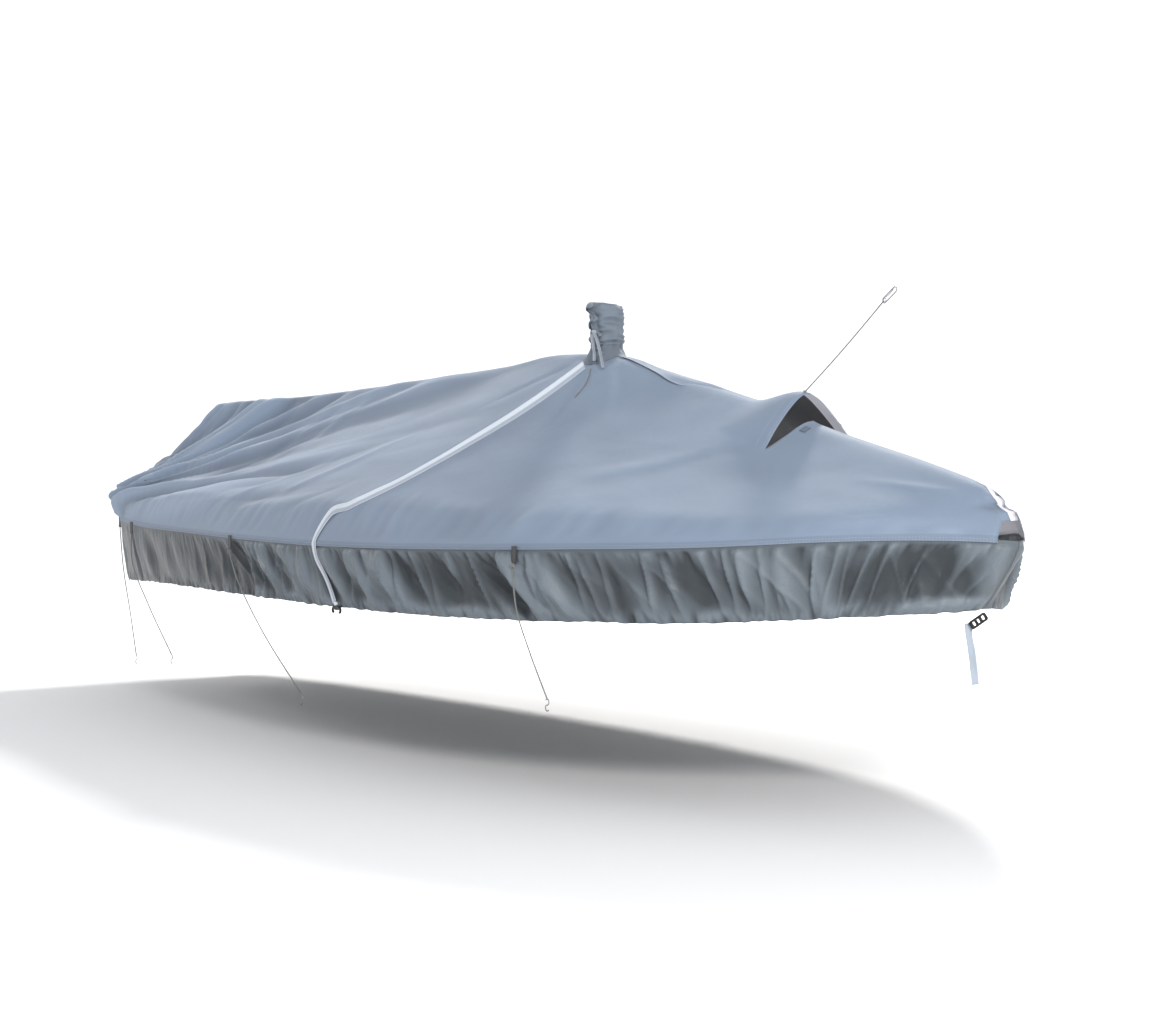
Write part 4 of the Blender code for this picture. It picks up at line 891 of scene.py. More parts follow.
def collar():
    foot_radius, foot_share = (np.array(values) for values in zip(*COLLAR_FOOT_ROWS))
    knots = np.arange(9.0)
    up = np.linspace(0, 8, COLLAR_UP)
    radius = through(knots, np.concatenate([foot_radius, COLLAR_SLEEVE["radius"]]), up)
    bearing = np.radians(through(knots, np.concatenate([np.full(3, -62.0), COLLAR_SLEEVE["bearing"]]), up))
    pleat = through(knots, np.concatenate([[0, 0.01, 0.04], COLLAR_SLEEVE["pleat"]]), up)
    wave = through(knots, np.concatenate([[0, 0, 0], COLLAR_SLEEVE["wave"]]), up)
    share = np.interp(up, (0, 1, 2, 3), (*foot_share, 1.0))
    lines, flats, fold_shading = [], [], []
    for k in range(COLLAR_UP):
        half_gap = COLLAR_SLIT_GAP / 2 / radius[k]
        turn = np.linspace(bearing[k] + half_gap, bearing[k] + 2 * math.pi - half_gap, COLLAR_ROUND)
        foot = [height_of(on_top, 0.074 * math.cos(t), 0.074 * math.sin(t)) or -0.02 for t in turn]
        window = np.hanning(15) / np.hanning(15).sum()
        foot = np.convolve(np.pad(foot, 7, "edge"), window, "valid") + 0.0016
        if up[k] < 3:
            height = foot + (COLLAR_WAIST - PEAK_HEIGHT - foot) * share[k]
        else:
            height = np.full(COLLAR_ROUND, through(knots[3:], COLLAR_SLEEVE["height"], up[k]) - PEAK_HEIGHT)
            low_side = np.maximum(np.cos(turn - COLLAR_LOW_SIDE), -0.2)
            height -= COLLAR_TILT * low_side * ease((up[k] - 6.0) / 2.0)
        height = height + wave[k] * np.sin(3 * turn + 1.0)
        spot = np.stack([np.cos(turn) * 0.05, np.sin(turn) * 0.05, height], 1)
        rings = 1 - 2 * np.abs(rumple(spot, 0.028, 12, (0.40, 0.40, 1.6)))
        rings *= COLLAR_RINGS * ease((up[k] - 2.2) / 1.2)
        gathers = COLLAR_GATHERS * rumple(spot, 0.016, 13, (1, 1, 0.25)) * bell(up[k] - 2.6, 1.1)
        rim = COLLAR_RIM * rumple(spot, 0.024, 14, (1, 1, 0.2)) * ease((up[k] - 6.6) / 1.4)
        raised = np.maximum(rings + gathers + rim, -0.004)
        narrowed = radius[k] - 0.006 * ease((up[k] - 7.0) / 1.0) ** 2
        out = narrowed * (1 + pleat[k] * np.cos(COLLAR_PLEATS * turn)) + raised
        # Each edge of the slit turns out and stands off the sleeve in scallops.
        stand = COLLAR_LIP * float(ease((up[k] - 1) / 2)) * (0.75 + 0.25 * math.cos(2.4 * up[k]))
        stand = 0.004 + stand * (1 - 0.45 * ease((up[k] - 7.0) / 1.0))
        steps = np.linspace(0, 1, 9)[1:]
        lip_out = stand * steps
        lip_turn = 0.26 * np.sin(steps * math.pi * 0.9) * math.sin(4.3 * up[k] + 0.6)
        full_turn = np.concatenate([(turn[0] + lip_turn)[::-1], turn, turn[-1] + lip_turn])
        full_out = np.concatenate([(out[0] + lip_out)[::-1], out, out[-1] + lip_out])
        full_height = np.concatenate([np.full(8, height[0]), height, np.full(8, height[-1])])
        droop = 0.013 * steps**2 * ease((up[k] - 6.6) / 1.4)
        full_height[:8] += (0.002 * math.sin(5 * up[k]) * steps - droop)[::-1]
        full_height[-8:] += 0.002 * math.sin(4 * up[k] + 1) * steps - droop
        lines.append(np.stack([full_out * np.cos(full_turn), full_out * np.sin(full_turn), full_height], 1))
        flats.append(np.stack([run_along(lines[-1]), np.full(len(full_turn), up[k] * 0.022)], 1))
        # Painted highlight and shade: the slit's lips are paler, the crumples count three times their height.
        fold_shading.append(np.concatenate([np.full(8, 0.008), raised * 3, np.full(8, 0.008)]))
    marks = {"crest": [np.array(fold_shading)]}
    return cloth_object("mast_collar", [np.array(lines)], [np.array(flats)], THIN_CLOTH, collar_cloth, marks)


# The collar's cloth is the top's, coloured darker.
COLLAR_COLOUR = (0.165, 0.198, 0.240)
collar_cloth = woven(
    "darker blue-grey cloth", COLLAR_COLOUR, thread=0.0016, weave_depth=0.0003, roughness=0.72, sheen=0.15,
    mottle=0.09, crumple_depth=0.0016, painted_fold_shades=(0.74, 1.22),
)
sleeve = collar()
dressed(sleeve, "collar")


# The flap that closes the ridge from the collar to the vent: one layer of the top's cloth, sewn down to port,
# its free edge lying to starboard and a little lifted.
FLAP = table(
    "x low high",
    (0.079, -0.010, 0.030),
    (0.120, -0.012, 0.030),
    (0.290, -0.032, 0.031),
    (0.430, -0.046, 0.032),
    (0.520, -0.022, 0.036),
    (0.600, -0.010, 0.041),
    (0.750, -0.010, 0.070),
    (0.936, -0.010, 0.130),
)
FLAP_LIFT, FLAP_SUNK = 0.0045, 0.0055


def laid_grid(tree, plan, clear, passes):
    """Heights that rest on the tree over a grid in plan, softened and never below it."""
    floor = np.array([[height_of(tree, x, y) or -1.0 for x, y in line] for line in plan])
    rest = floor.copy()
    for _ in range(passes):
        padded = np.pad(rest, 1, "edge")
        soft = (padded[:-2, 1:-1] + padded[2:, 1:-1] + padded[1:-1, :-2] + padded[1:-1, 2:] + 2 * rest) / 6
        rest = np.maximum(soft, floor)
    return rest + clear


def flap():
    xs = np.linspace(FLAP["x"][0], FLAP["x"][-1], 190)
    low, high = (through(FLAP["x"], FLAP[name], xs) for name in ("low", "high"))
    low = low + 0.0015 * np.sin(xs * 31)
    across = np.linspace(0, 1, 34)
    plan = np.stack([np.repeat(xs[:, None], 34, 1), low[:, None] + across * (high - low)[:, None]], -1)
    rest = laid_grid(on_top, plan, 0.0016, 14)
    part = (xs - xs[0]) / (xs[-1] - xs[0])
    lift = FLAP_LIFT * np.sin(math.pi * part) ** 0.5 * (1 - ease((xs - 0.30) / 0.20))
    lift *= 0.75 + 0.25 * np.sin(xs * 19)
    rest += lift[:, None] * bell(across, 0.16)
    # Ahead of its lifted part the edge is sewn down flush with the panel.
    rest -= FLAP_SUNK * ease((xs - 0.34) / 0.16)[:, None] * (1 - ease(across / 0.55))
    place = np.concatenate([plan, rest[..., None]], -1)
    rest += 0.0016 * (rumple(place, 0.05, 15, (0.5, 1, 1)) + 0.5).clip(0) * np.sin(np.pi * across)
    grid = np.concatenate([plan, rest[..., None]], -1)
    flat = np.stack([plan[..., 0], plan[..., 1] * 1.1], -1)
    return cloth_object("closure_flap", [grid], [flat], THIN_CLOTH, top_cloth, {"crest": [0 * rest + 0.0005]})


closure = flap()
dressed(closure, "front_flap")


# A small square patch of darker coated cloth, one layer thick, laid flat on the lower lip of the vent's mouth
# and sewn down there.
PATCH_X, PATCH_Y = (0.972, 0.994), (-0.054, -0.032)


def patch():
    plan = np.stack(np.meshgrid(np.linspace(*PATCH_X, 14), np.linspace(*PATCH_Y, 14), indexing="ij"), -1)
    rest = laid_grid(on_top, plan, 0.0014, 4)
    grid = np.concatenate([plan, rest[..., None]], -1)
    return cloth_object("lip_patch", [grid], [plan], 0.0010, patch_cloth)


patch_cloth = woven(
    "darker patch cloth", (0.15, 0.18, 0.24), thread=0.0014, weave_depth=0.0003, roughness=0.8, sheen=0.1,
    mottle=0.08, crumple_depth=0.0008,
)
lip_patch = patch()
dressed(lip_patch, "hood_patch")


# The side straps: pale polyester webbing, sewn on at the collar's foot, drawn tight over the gunwale and
# knotted at the hem. Its woven edges are raised and paler than the ribbed middle.
WEBBING, WEBBING_WIDTH = 0.0015, 0.025
STRAP_ROUTE = (
    (0.006, -0.086, 0.511),
    (-0.030, -0.220, 0.421),
    (-0.086, -0.400, 0.306),
    (-0.140, -0.560, 0.209),
    (-0.195, -0.670, 0.145),
    (-0.265, -0.732, 0.105),
    (-0.345, -0.757, 0.083),
    (-0.372, -0.785, 0.042),
    (-0.376, -0.812, 0.000),
    (-0.362, -0.818, -0.040),
    (-0.320, -0.800, -0.110),
    (-0.285, -0.775, -0.178),
)
# Above the shoulder it stands partly on its fore edge: how steeply, and between which shares of its length it
# comes to lie flat.
STRAP_LEAN, LEAN_ENDS = math.radians(60), (0.25, 0.62)
HEART_HEIGHT = 0.10


def unit(rows):
    return rows / np.linalg.norm(rows, axis=1)[:, None]


def from_gunwale(rows):
    """Table places, whose heights are above the gunwale, as places in the model's frame."""
    return np.array(rows, float) - (0, 0, PEAK_HEIGHT)


def route(points, count):
    """Evenly spaced points on a smooth curve through the given ones."""
    points = np.asarray(points, float)
    along = run_along(points)
    fine = np.linspace(0, along[-1], 20 * count)
    dense = np.stack([through(along, points[:, k], fine) for k in range(3)], 1)
    even = np.linspace(0, run_along(dense)[-1], count)
    return read_at(even, run_along(dense), dense)


def tangents(points):
    return unit(np.gradient(points, axis=0))


def outward(point):
    """The direction out of the cover at a place on it, and the middle that it points from."""
    heart = np.array([point[0], 0.0, HEART_HEIGHT - PEAK_HEIGHT])
    away = np.asarray(point) - heart
    return away / np.linalg.norm(away), heart


def drawn_tight(tree, edges, clear, passes=160):
    """A taut band's lines of points moved onto the tree's outer face. It spans the hollows."""
    flat = edges.reshape(-1, 3)
    out, hearts = (np.array(v).reshape(edges.shape) for v in zip(*(outward(p) for p in flat)))
    least = []
    for point, way, heart in zip(flat, out.reshape(-1, 3), hearts.reshape(-1, 3)):
        hit = tree.ray_cast(Vector(heart + 2.0 * way), Vector(-way))[0]
        least.append(0.0 if hit is None else np.linalg.norm(np.array(hit) - heart))
    least = np.array(least).reshape(edges.shape[:2])
    least = np.maximum(least, least.max(0) - 0.0015) + clear
    far = least.copy()
    for _ in range(passes):
        place = hearts + far[..., None] * out
        middle = (place[:, :-2] + place[:, 2:]) / 2
        far[:, 1:-1] = np.maximum(least[:, 1:-1], ((middle - hearts[:, 1:-1]) * out[:, 1:-1]).sum(2))
    return hearts + far[..., None] * out


def swept(name, centres, across, out, ring, material):
    """A closed form along a line: ring(distance) gives its section there as (across, out) pairs. Its UV map
    holds the distance along it and round it."""
    along = run_along(centres)
    shell = bmesh.new()
    flat_map = shell.loops.layers.uv.new("Flat cloth")
    sections = [np.array(ring(d)) for d in along]
    loops = []
    for centre, side, up, section_here in zip(centres, across, out, sections):
        loops.append([shell.verts.new(centre + a * side + b * up) for a, b in section_here])
    count = len(loops[0])
    girth = run_along(np.concatenate([sections[0], sections[0][:1]]))
    for i in range(len(loops) - 1):
        for k in range(count):
            face = shell.faces.new((loops[i][k - 1], loops[i][k], loops[i + 1][k], loops[i + 1][k - 1]))
            places = ((i, k), (i, k + 1), (i + 1, k + 1), (i + 1, k))
            for loop, (a, b) in zip(face.loops, places):
                loop[flat_map].uv = (along[a], girth[b])
    shell.faces.new(loops[0])
    shell.faces.new(loops[-1][::-1])
    bmesh.ops.recalc_face_normals(shell, faces=shell.faces)
    return formed(name, shell, material)


def webbing_ring(width, thickness):
    """Section of woven webbing: flat faces, with a rounded and slightly thicker edge at each side."""
    edge = thickness * 0.62
    left = -width / 2
    half = [(left + 0.0006, edge), (left + 0.0022, edge * 1.05), (left + 0.0034, thickness / 2)]
    other_half = [(-a, b) for a, b in half[::-1]]
    upper = [(left, 0.0), *half, (0.0, thickness / 2), *other_half, (-left, 0.0)]
    lower = [(a, -b) for a, b in upper[-2:0:-1]]
    return upper + lower


def band(name, centres, across, width, thickness, material):
    across, ring = unit(across), webbing_ring(width, thickness)
    return swept(name, centres, across, np.cross(across, tangents(centres)), lambda distance: ring, material)


def webbing(name, colour, edge_colour, width):
    """Ribbed woven tape. Its rib runs across, and the two woven edges are paler."""
    made, tree, shader = surface(name, {"Roughness": 0.62, "Sheen Weight": 0.2})
    flat = on_flat_cloth(tree)
    round_it = node(tree, "ShaderNodeSeparateXYZ", {0: flat}).outputs["Y"]
    ribs, warp = thread_rows(tree, flat, 0.0016, 0.4, "X"), thread_rows(tree, flat, 0.0011, 0.3, "Y")
    weave = maths(tree, "ADD", ribs, warp)
    off = maths(tree, "ABSOLUTE", maths(tree, "SUBTRACT", maths(tree, "MODULO", round_it, width), width / 2))
    tint = two_tone(tree, graded(tree, off, width * 0.30, width * 0.40), colour, edge_colour)
    wire_in(shader, {"Base Color": tint, "Normal": relief(tree, weave, 0.0003, 0.7)})
    return made


def side_strap(side):
    line = route(from_gunwale(STRAP_ROUTE) * (1, -side, 1), 260)
    across = unit(np.cross(tangents(line), np.array([outward(p)[0] for p in line])))
    lanes = np.stack([line + across * WEBBING_WIDTH * share for share in (-0.45, -0.15, 0.15, 0.45)])
    lanes = drawn_tight(on_cover, lanes, WEBBING / 2 + 0.0009)
    fore, aft = (lanes[0], lanes[-1]) if side == STARBOARD else (lanes[-1], lanes[0])
    start, end = LEAN_ENDS
    lean = STRAP_LEAN * (1 - ease((np.linspace(0, 1, len(fore))[:, None] - start) / (end - start)))
    across = unit(aft - fore) * np.cos(lean) + np.array([outward(p)[0] for p in fore]) * np.sin(lean)
    centres = fore + across * WEBBING_WIDTH * 0.45
    name = f"side_strap_{SIDE_NAMES[side]}"
    return band(name, centres, -side * across, WEBBING_WIDTH, WEBBING, pale_webbing)


on_cover = faces_of(*main_panels.values(), stern_cloth, *skirts.values())
pale_webbing = webbing("pale webbing", (0.40, 0.45, 0.53), (0.66, 0.71, 0.78), WEBBING_WIDTH)
for side in (STARBOARD, PORT):
    strap = side_strap(side)
    dressed(strap, f"strap_{SIDE_NAMES[side]}")


# Each strap ends at the hem in a knot of its own webbing and a flat black plastic double hook that clips to
# the hem's cord. The hook is one moulded plate, rounded at its edges, with a hook turned in at each end.
PLATE_THICKNESS = 0.006
HOOK_HALF = (
    (0.0, 0.011), (0.011, 0.011), (0.019, 0.0095), (0.024, 0.006), (0.0275, 0.002), (0.028, -0.002),
    (0.027, -0.0065), (0.024, -0.010), (0.0205, -0.0115), (0.017, -0.011), (0.016, -0.007), (0.019, -0.0062),
    (0.021, -0.004), (0.0205, -0.001), (0.018, 0.001), (0.014, 0.0005), (0.010, -0.001), (0.0, -0.002),
)


def plastic(name, colour, roughness):
    """Moulded plastic with a fine grain and scuffs a little paler than the rest."""
    made, tree, shader = surface(name, {})
    place = in_model(tree)
    scuffs = blotches(tree, place, 90.0, 6.0, 0.7)
    tint = two_tone(tree, graded(tree, scuffs, 0.55, 0.75), colour, [3 * c + 0.02 for c in colour])
    gloss = graded(tree, scuffs, 0.0, 1.0, roughness - 0.1, roughness + 0.15)
    grain = relief(tree, blotches(tree, place, 2600.0, 1.0), 0.00008, 0.5)
    wire_in(shader, {"Base Color": tint, "Roughness": gloss, "Normal": grain})
    return made


def plain_mesh(name, shape):
    """The shape's finished surface as a mesh of its own, with its place in its vertices."""
    graph = bpy.context.evaluated_depsgraph_get()
    data = bpy.data.meshes.new_from_object(shape.evaluated_get(graph))
    data.transform(shape.matrix_world)
    material = shape.data.materials[0]
    bpy.data.objects.remove(shape)
    data.name = name
    data.materials.clear()
    data.materials.append(material)
    data.shade_smooth()
    return placed(name, data)


def wire(name, points, diameter, material, closed=False):
    """A rod bent along a smooth line of points, with round ends."""
    data = bpy.data.curves.new(name, "CURVE")
    data.dimensions, data.use_fill_caps = "3D", True
    data.bevel_depth, data.bevel_resolution = diameter / 2, 4
    line = data.splines.new("POLY")
    line.points.add(len(points) - 1)
    for k, (point, place) in enumerate(zip(line.points, points)):
        point.co = (*place, 1.0)
        ends = 0 if closed else max(0, 2 - min(k, len(points) - 1 - k))
        point.radius = (1.0, 0.85, 0.5)[ends]
    line.use_cyclic_u = closed
    line.use_smooth = True
    data.materials.append(material)
    made = placed(name, data)
    bpy.context.view_layer.update()
    return plain_mesh(name, made)


def corners(node_name):
    """The two corners of the box round one of the model's nodes."""
    return (np.array(corner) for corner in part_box(node_name))


def knot(name, node_name, thickness, material, lean):
    """An overhand knot pulled tight, in the space of its solid."""
    low, high = corners(node_name)
    turn = turns_of(72)
    loops = [np.sin(turn) + 2 * np.sin(2 * turn), np.cos(turn) - 2 * np.cos(2 * turn), -np.sin(3 * turn)]
    loops = np.stack(loops, 1) / (3.0, 3.0, 1.0)
    c, s = math.cos(lean), math.sin(lean)
    loops = loops @ np.array([[c, 0, s], [0, 1, 0], [-s, 0, c]])
    loops /= np.abs(loops).max(0)
    room = (high - low) / 2 - thickness / 2
    return wire(name, (low + high) / 2 + loops * room, thickness, material, closed=True)


def double_hook(side):
    low, high = corners(f"strap_hook_{SIDE_NAMES[side]}")
    data = bpy.data.curves.new("plate", "CURVE")
    data.dimensions, data.fill_mode = "2D", "BOTH"
    data.bevel_depth, data.bevel_resolution = 0.0012, 3
    data.extrude = PLATE_THICKNESS / 2 - data.bevel_depth
    data.offset = -data.bevel_depth
    outline = [*HOOK_HALF, *((-x, y) for x, y in HOOK_HALF[-2:0:-1])]
    line = data.splines.new("POLY")
    line.use_cyclic_u = True
    line.points.add(len(outline) - 1)
    for point, place in zip(line.points, outline):
        point.co = (*place, 0.0, 1.0)
    data.materials.append(black_plastic)
    made = placed("plate", data)
    made.rotation_euler = (math.radians(90), 0, 0)
    made.location = (low + high) / 2 + (0, 0, 0.00025)
    bpy.context.view_layer.update()
    return plain_mesh(f"double_hook_{SIDE_NAMES[side]}", made)


black_plastic = plastic("black moulded plastic", (0.008, 0.008, 0.010), 0.42)
for side in (STARBOARD, PORT):
    knot_node = f"strap_knot_{SIDE_NAMES[side]}"
    tail_knot = knot(f"tail_knot_{SIDE_NAMES[side]}", knot_node, 0.0062, pale_webbing, 0.5)
    dressed(tail_knot, knot_node)
    dressed(double_hook(side), f"strap_hook_{SIDE_NAMES[side]}")


# Short loops of dark webbing, folded double and sewn into the gunwale seam, four a side. The tie cords start
# from them. Each hangs flat against the skirt.
LOOP_PLACES = ("waist", "quarter", "bridle", "corner")
LOOP_WIDTH, LOOP_THICKNESS = 0.020, 0.0013


def tie_loop(place, side):
    low, high = corners(f"tie_loop_{place}_{SIDE_NAMES[side]}")
    inner = min(abs(low[1]), abs(high[1])) + LOOP_THICKNESS / 2 + 0.0001
    outer = max(abs(low[1]), abs(high[1])) - LOOP_THICKNESS / 2 - 0.0001
    middle, radius = (inner + outer) / 2, (outer - inner) / 2
    bottom = low[2] + radius + LOOP_THICKNESS / 2
    turns = np.linspace(0, math.pi, 9)
    bend = [(middle - radius * math.cos(t), bottom - radius * math.sin(t)) for t in turns]
    path = [(inner, z) for z in np.linspace(high[2], bottom, 12)[:-1]] + bend
    for k, z in enumerate(np.linspace(bottom, high[2], 12)[1:]):
        path.append((outer - 0.0006 * math.sin(math.pi * k / 11), z))
    centres = np.array([((low[0] + high[0]) / 2, side * y, z) for y, z in path])
    width = min(LOOP_WIDTH, high[0] - low[0])
    across = np.tile([1.0, 0.0, 0.0], (len(centres), 1))
    return band(f"sewn_loop_{place}_{SIDE_NAMES[side]}", centres, across, width, LOOP_THICKNESS, dark_webbing)


dark_webbing = webbing("dark webbing", (0.030, 0.033, 0.037), (0.045, 0.049, 0.054), LOOP_WIDTH)
for side in (STARBOARD, PORT):
    for place in LOOP_PLACES:
        dressed(tie_loop(place, side), f"tie_loop_{place}_{SIDE_NAMES[side]}")


# The tie cords: white three-strand cord, 4 mm thick, drawn down from four of the loops to starboard, each
# with a bright wire hook at its end. Two of them are knotted to their loop.
CORD, HOOK_WIRE, HOOK_SIZE = 0.004, 0.003, 0.016
STRAND_TURN = 3.6
TIE_CORDS = {
    "waist": (
        (0.6055, -0.727, -0.0415), (0.64, -0.735, -0.15), (0.668, -0.712, -0.26), (0.7, -0.68, -0.378),
    ),
    "quarter": (
        (-1.015, -0.79, -0.068), (-0.9, -0.812, -0.155), (-0.8, -0.78, -0.3), (-0.68, -0.7, -0.5),
    ),
    "bridle": (
        (-2.2505, -0.6285, -0.0494), (-2.215, -0.64, -0.15), (-2.17, -0.6, -0.3), (-2.105, -0.53, -0.5),
    ),
    "corner": (
        (-2.7155, -0.4878, -0.0404), (-2.728, -0.47, -0.2), (-2.726, -0.44, -0.4), (-2.72, -0.42, -0.56),
    ),
}
HOOK_DROPS = {"waist": 0.0026, "quarter": 0.0030, "bridle": 0.0027, "corner": 0.0021}
TIE_KNOTS = ("waist", "quarter")
SHORT_TIE = ((-1.312, -0.772, -0.050), (-1.300, -0.778, -0.110), (-1.287, -0.772, -0.190))


def laid_cord(name, points, diameter, material):
    """Three strands laid round each other: a round section whose three lobes turn along the cord."""
    along = run_along(points)
    count = max(24, int(along[-1] / (0.55 * diameter)))
    line = read_at(np.linspace(0, along[-1], count), along, points)
    way = tangents(line)
    side = np.cross(way[0], (0.3, 0.9, 0.1))
    sides = []
    for t in way:
        side = side - (side @ t) * t
        side /= np.linalg.norm(side)
        sides.append(side)
    sides = np.array(sides)
    turn = turns_of(12)

    def ring(distance):
        twist = 2 * math.pi * distance / (STRAND_TURN * diameter)
        lobes = 0.5 * diameter * (0.87 + 0.13 * np.abs(np.cos(1.5 * (turn + twist))))
        return np.stack([lobes * np.cos(turn), lobes * np.sin(turn)], 1)

    return swept(name, line, sides, np.cross(way, sides), ring, material)


def cord_material(name, colour):
    made, tree, shader = surface(name, {"Roughness": 0.7, "Sheen Weight": 0.25})
    place = in_model(tree)
    tint = two_tone(tree, blotches(tree, place, 40.0, 4.0), colour, [0.7 * c for c in colour])
    fibres = relief(tree, blotches(tree, place, 1500.0, 2.0), 0.0002, 0.8)
    wire_in(shader, {"Base Color": tint, "Normal": fibres})
    return made


def metal(name, colour, roughness):
    """Drawn wire, bright, with duller patches."""
    made, tree, shader = surface(name, {"Metallic": 1.0})
    dull = blotches(tree, in_model(tree), 160.0, 5.0)
    tint = two_tone(tree, dull, colour, [0.6 * c for c in colour])
    gloss = graded(tree, dull, 0.0, 1.0, roughness, roughness + 0.25)
    wire_in(shader, {"Base Color": tint, "Roughness": gloss})
    return made


def wire_hook(name, eye):
    """An S-hook bent from wire."""
    turns = np.radians(np.linspace(150, -90, 22))
    upper = [(0.5 * math.cos(t), 0.5 * math.sin(t)) for t in turns]
    lower = [(-x, -1.0 - y) for x, y in upper[-2::-1]]
    points = [np.array(eye) + (HOOK_SIZE * x, 0, HOOK_SIZE * (y - 0.62)) for x, y in upper + lower]
    return wire(name, points, HOOK_WIRE, steel)


white_cord = cord_material("white laid cord", (0.22, 0.22, 0.21))
steel = metal("bright steel wire", (0.42, 0.43, 0.45), 0.25)
for place, rows in TIE_CORDS.items():
    ends = from_gunwale(rows)
    line = route(ends, 30)
    cord = laid_cord(f"tie_line_{place}", line, CORD, white_cord)
    eye = ends[-1] + tangents(ends)[-1] * HOOK_DROPS[place] + (0, 0, 0.15 * HOOK_SIZE)
    on_cord = [wire_hook(f"end_hook_{place}", eye)]
    dressed(on_cord[0], f"tie_hook_{place}")
    if place in TIE_KNOTS:
        on_cord.append(knot(f"head_knot_{place}", f"tie_knot_{place}", CORD, white_cord, 0.3))
        dressed(on_cord[1], f"tie_knot_{place}")
    dressed(cord, f"tie_cord_{place}")


def loose_cord(name, node_name, line, diameter):
    """A short end of cord that hangs on the cloth."""
    made = laid_cord(name, line, diameter, white_cord)
    dressed(made, node_name)


line = route(from_gunwale(SHORT_TIE), 24)
line = drawn_tight(on_cover, line[None], CORD / 2 + 0.0006)[0]
loose_cord("short_tie_end", "short_tie", line, CORD)


# The line that holds the vent's hood open: thin cord knotted on the hood's lip, led forward and up to a small
# snap hook.
HOOD_CORD = 0.003
HOOD_LINE = ((0.9357, 0.0, 0.4289), (1.040, 0.0, 0.503), (1.145, 0.0, 0.580), (1.2405, 0.0, 0.6518))
SNAP_HOOK, SNAP_HOOK_WIDTH, EYE_RADIUS = ((1.237, 0.0, 0.6495), (1.287, 0.0, 0.682)), 0.014, 0.0042


def snap_hook():
    """A spring hook: a long loop of wire, an eye at its foot and a gate across its side."""
    low, high = from_gunwale(SNAP_HOOK)
    length, half = np.linalg.norm(high - low), SNAP_HOOK_WIDTH / 2
    axis = (high - low) / length
    side = np.array([-axis[2], 0, axis[0]])

    def at(along, across):
        return low + axis * along + side * across

    loop = []
    for t in turns_of(48):
        stretch = (length / 2 - half) * np.tanh(6 * math.sin(t))
        loop.append(at(length / 2 + math.sin(t) * half + stretch, math.cos(t) * half))
    gate_line = [at(length * s, half - 0.0045 * math.sin(math.pi * s)) for s in np.linspace(0.22, 0.86, 14)]
    eye_ring = [at(0.0085 + EYE_RADIUS * math.cos(t), EYE_RADIUS * math.sin(t)) for t in turns_of(20)]
    body = wire("snap_hook", loop, HOOK_WIRE, steel, closed=True)
    gate = wire("gate", gate_line, 0.0020, steel)
    eye = wire("eye", eye_ring, 0.0018, steel, closed=True)
    shell = bmesh.new()
    for piece in (body, gate, eye):
        shell.from_mesh(piece.data)
    for piece in (gate, eye):
        bpy.data.objects.remove(piece)
    shell.to_mesh(body.data)
    shell.free()
    return body


line = route(from_gunwale(HOOD_LINE), 30)
line[:, 2] -= 0.0016 * np.sin(np.linspace(0, math.pi, 30))
grey_cord = cord_material("grey laid cord", (0.075, 0.075, 0.08))
hood_line = laid_cord("vent_line", line, HOOD_CORD, grey_cord)
hood_hook = snap_hook()
lip_knot = knot("lip_knot", "hood_knot", HOOD_CORD, white_cord, 0.8)
dressed(hood_line, "hood_line")
dressed(hood_hook, "hood_hook")
dressed(lip_knot, "hood_knot")


# The tape that draws the collar's slit together: flat pale tape tied in one knot, whose two ends hang down
# over the foot, and the frayed end of a thin cord beside them.
TAPE_FACING, TAPE_WIDTH, TAPE = math.radians(-42), 0.010, 0.0010
COLLAR_TAPES = {
    "aft": (
        (0.0285, -0.0765, 0.6198), (0.042, -0.0815, 0.600), (0.050, -0.0815, 0.566), (0.0555, -0.0835, 0.538),
    ),
    "fore": (
        (0.0375, -0.0705, 0.6208), (0.0545, -0.0735, 0.600), (0.0715, -0.0745, 0.565), (0.102, -0.084, 0.516),
    ),
}
COLLAR_CORD = ((0.040, -0.086, 0.512), (0.056, -0.100, 0.500), (0.098, -0.148, 0.458), (0.115, -0.193, 0.424))


def hanging_tape(name, node_name, rows, width, thickness, far_curl, material):
    line = route(from_gunwale(rows), 40)
    facing = np.tile([math.cos(TAPE_FACING), math.sin(TAPE_FACING), 0.2], (len(line), 1))
    across = unit(np.cross(tangents(line), facing))
    centres = line + facing * (thickness / 2 + 0.0003)
    share = np.linspace(0, 1, len(line))
    turn = far_curl * share**2 + 0.5 * np.sin(2.3 * math.pi * share) * np.sin(math.pi * share)
    out = np.cross(across, tangents(centres))
    across = across * np.cos(turn)[:, None] + out * np.sin(turn)[:, None]
    made = band(name, centres, across, width, thickness, material)
    dressed(made, node_name)
    return made, centres


soft_tape = webbing("soft pale tape", (0.26, 0.29, 0.34), (0.36, 0.40, 0.46), TAPE_WIDTH)
collar_knot = knot("collar_tape_knot", "collar_knot", 0.0064, soft_tape, 1.1)
dressed(collar_knot, "collar_knot")
for place, rows in COLLAR_TAPES.items():
    names = f"slit_tape_{place}", f"collar_tape_{place}"
    tape, centres = hanging_tape(*names, rows, TAPE_WIDTH, TAPE, 0.25, soft_tape)
line = route(from_gunwale(COLLAR_CORD), 30)
line = drawn_tight(on_top, line[None], HOOD_CORD / 2 + 0.0008)[0]
loose_cord("thin_cord_end", "collar_cord", line, HOOD_CORD)


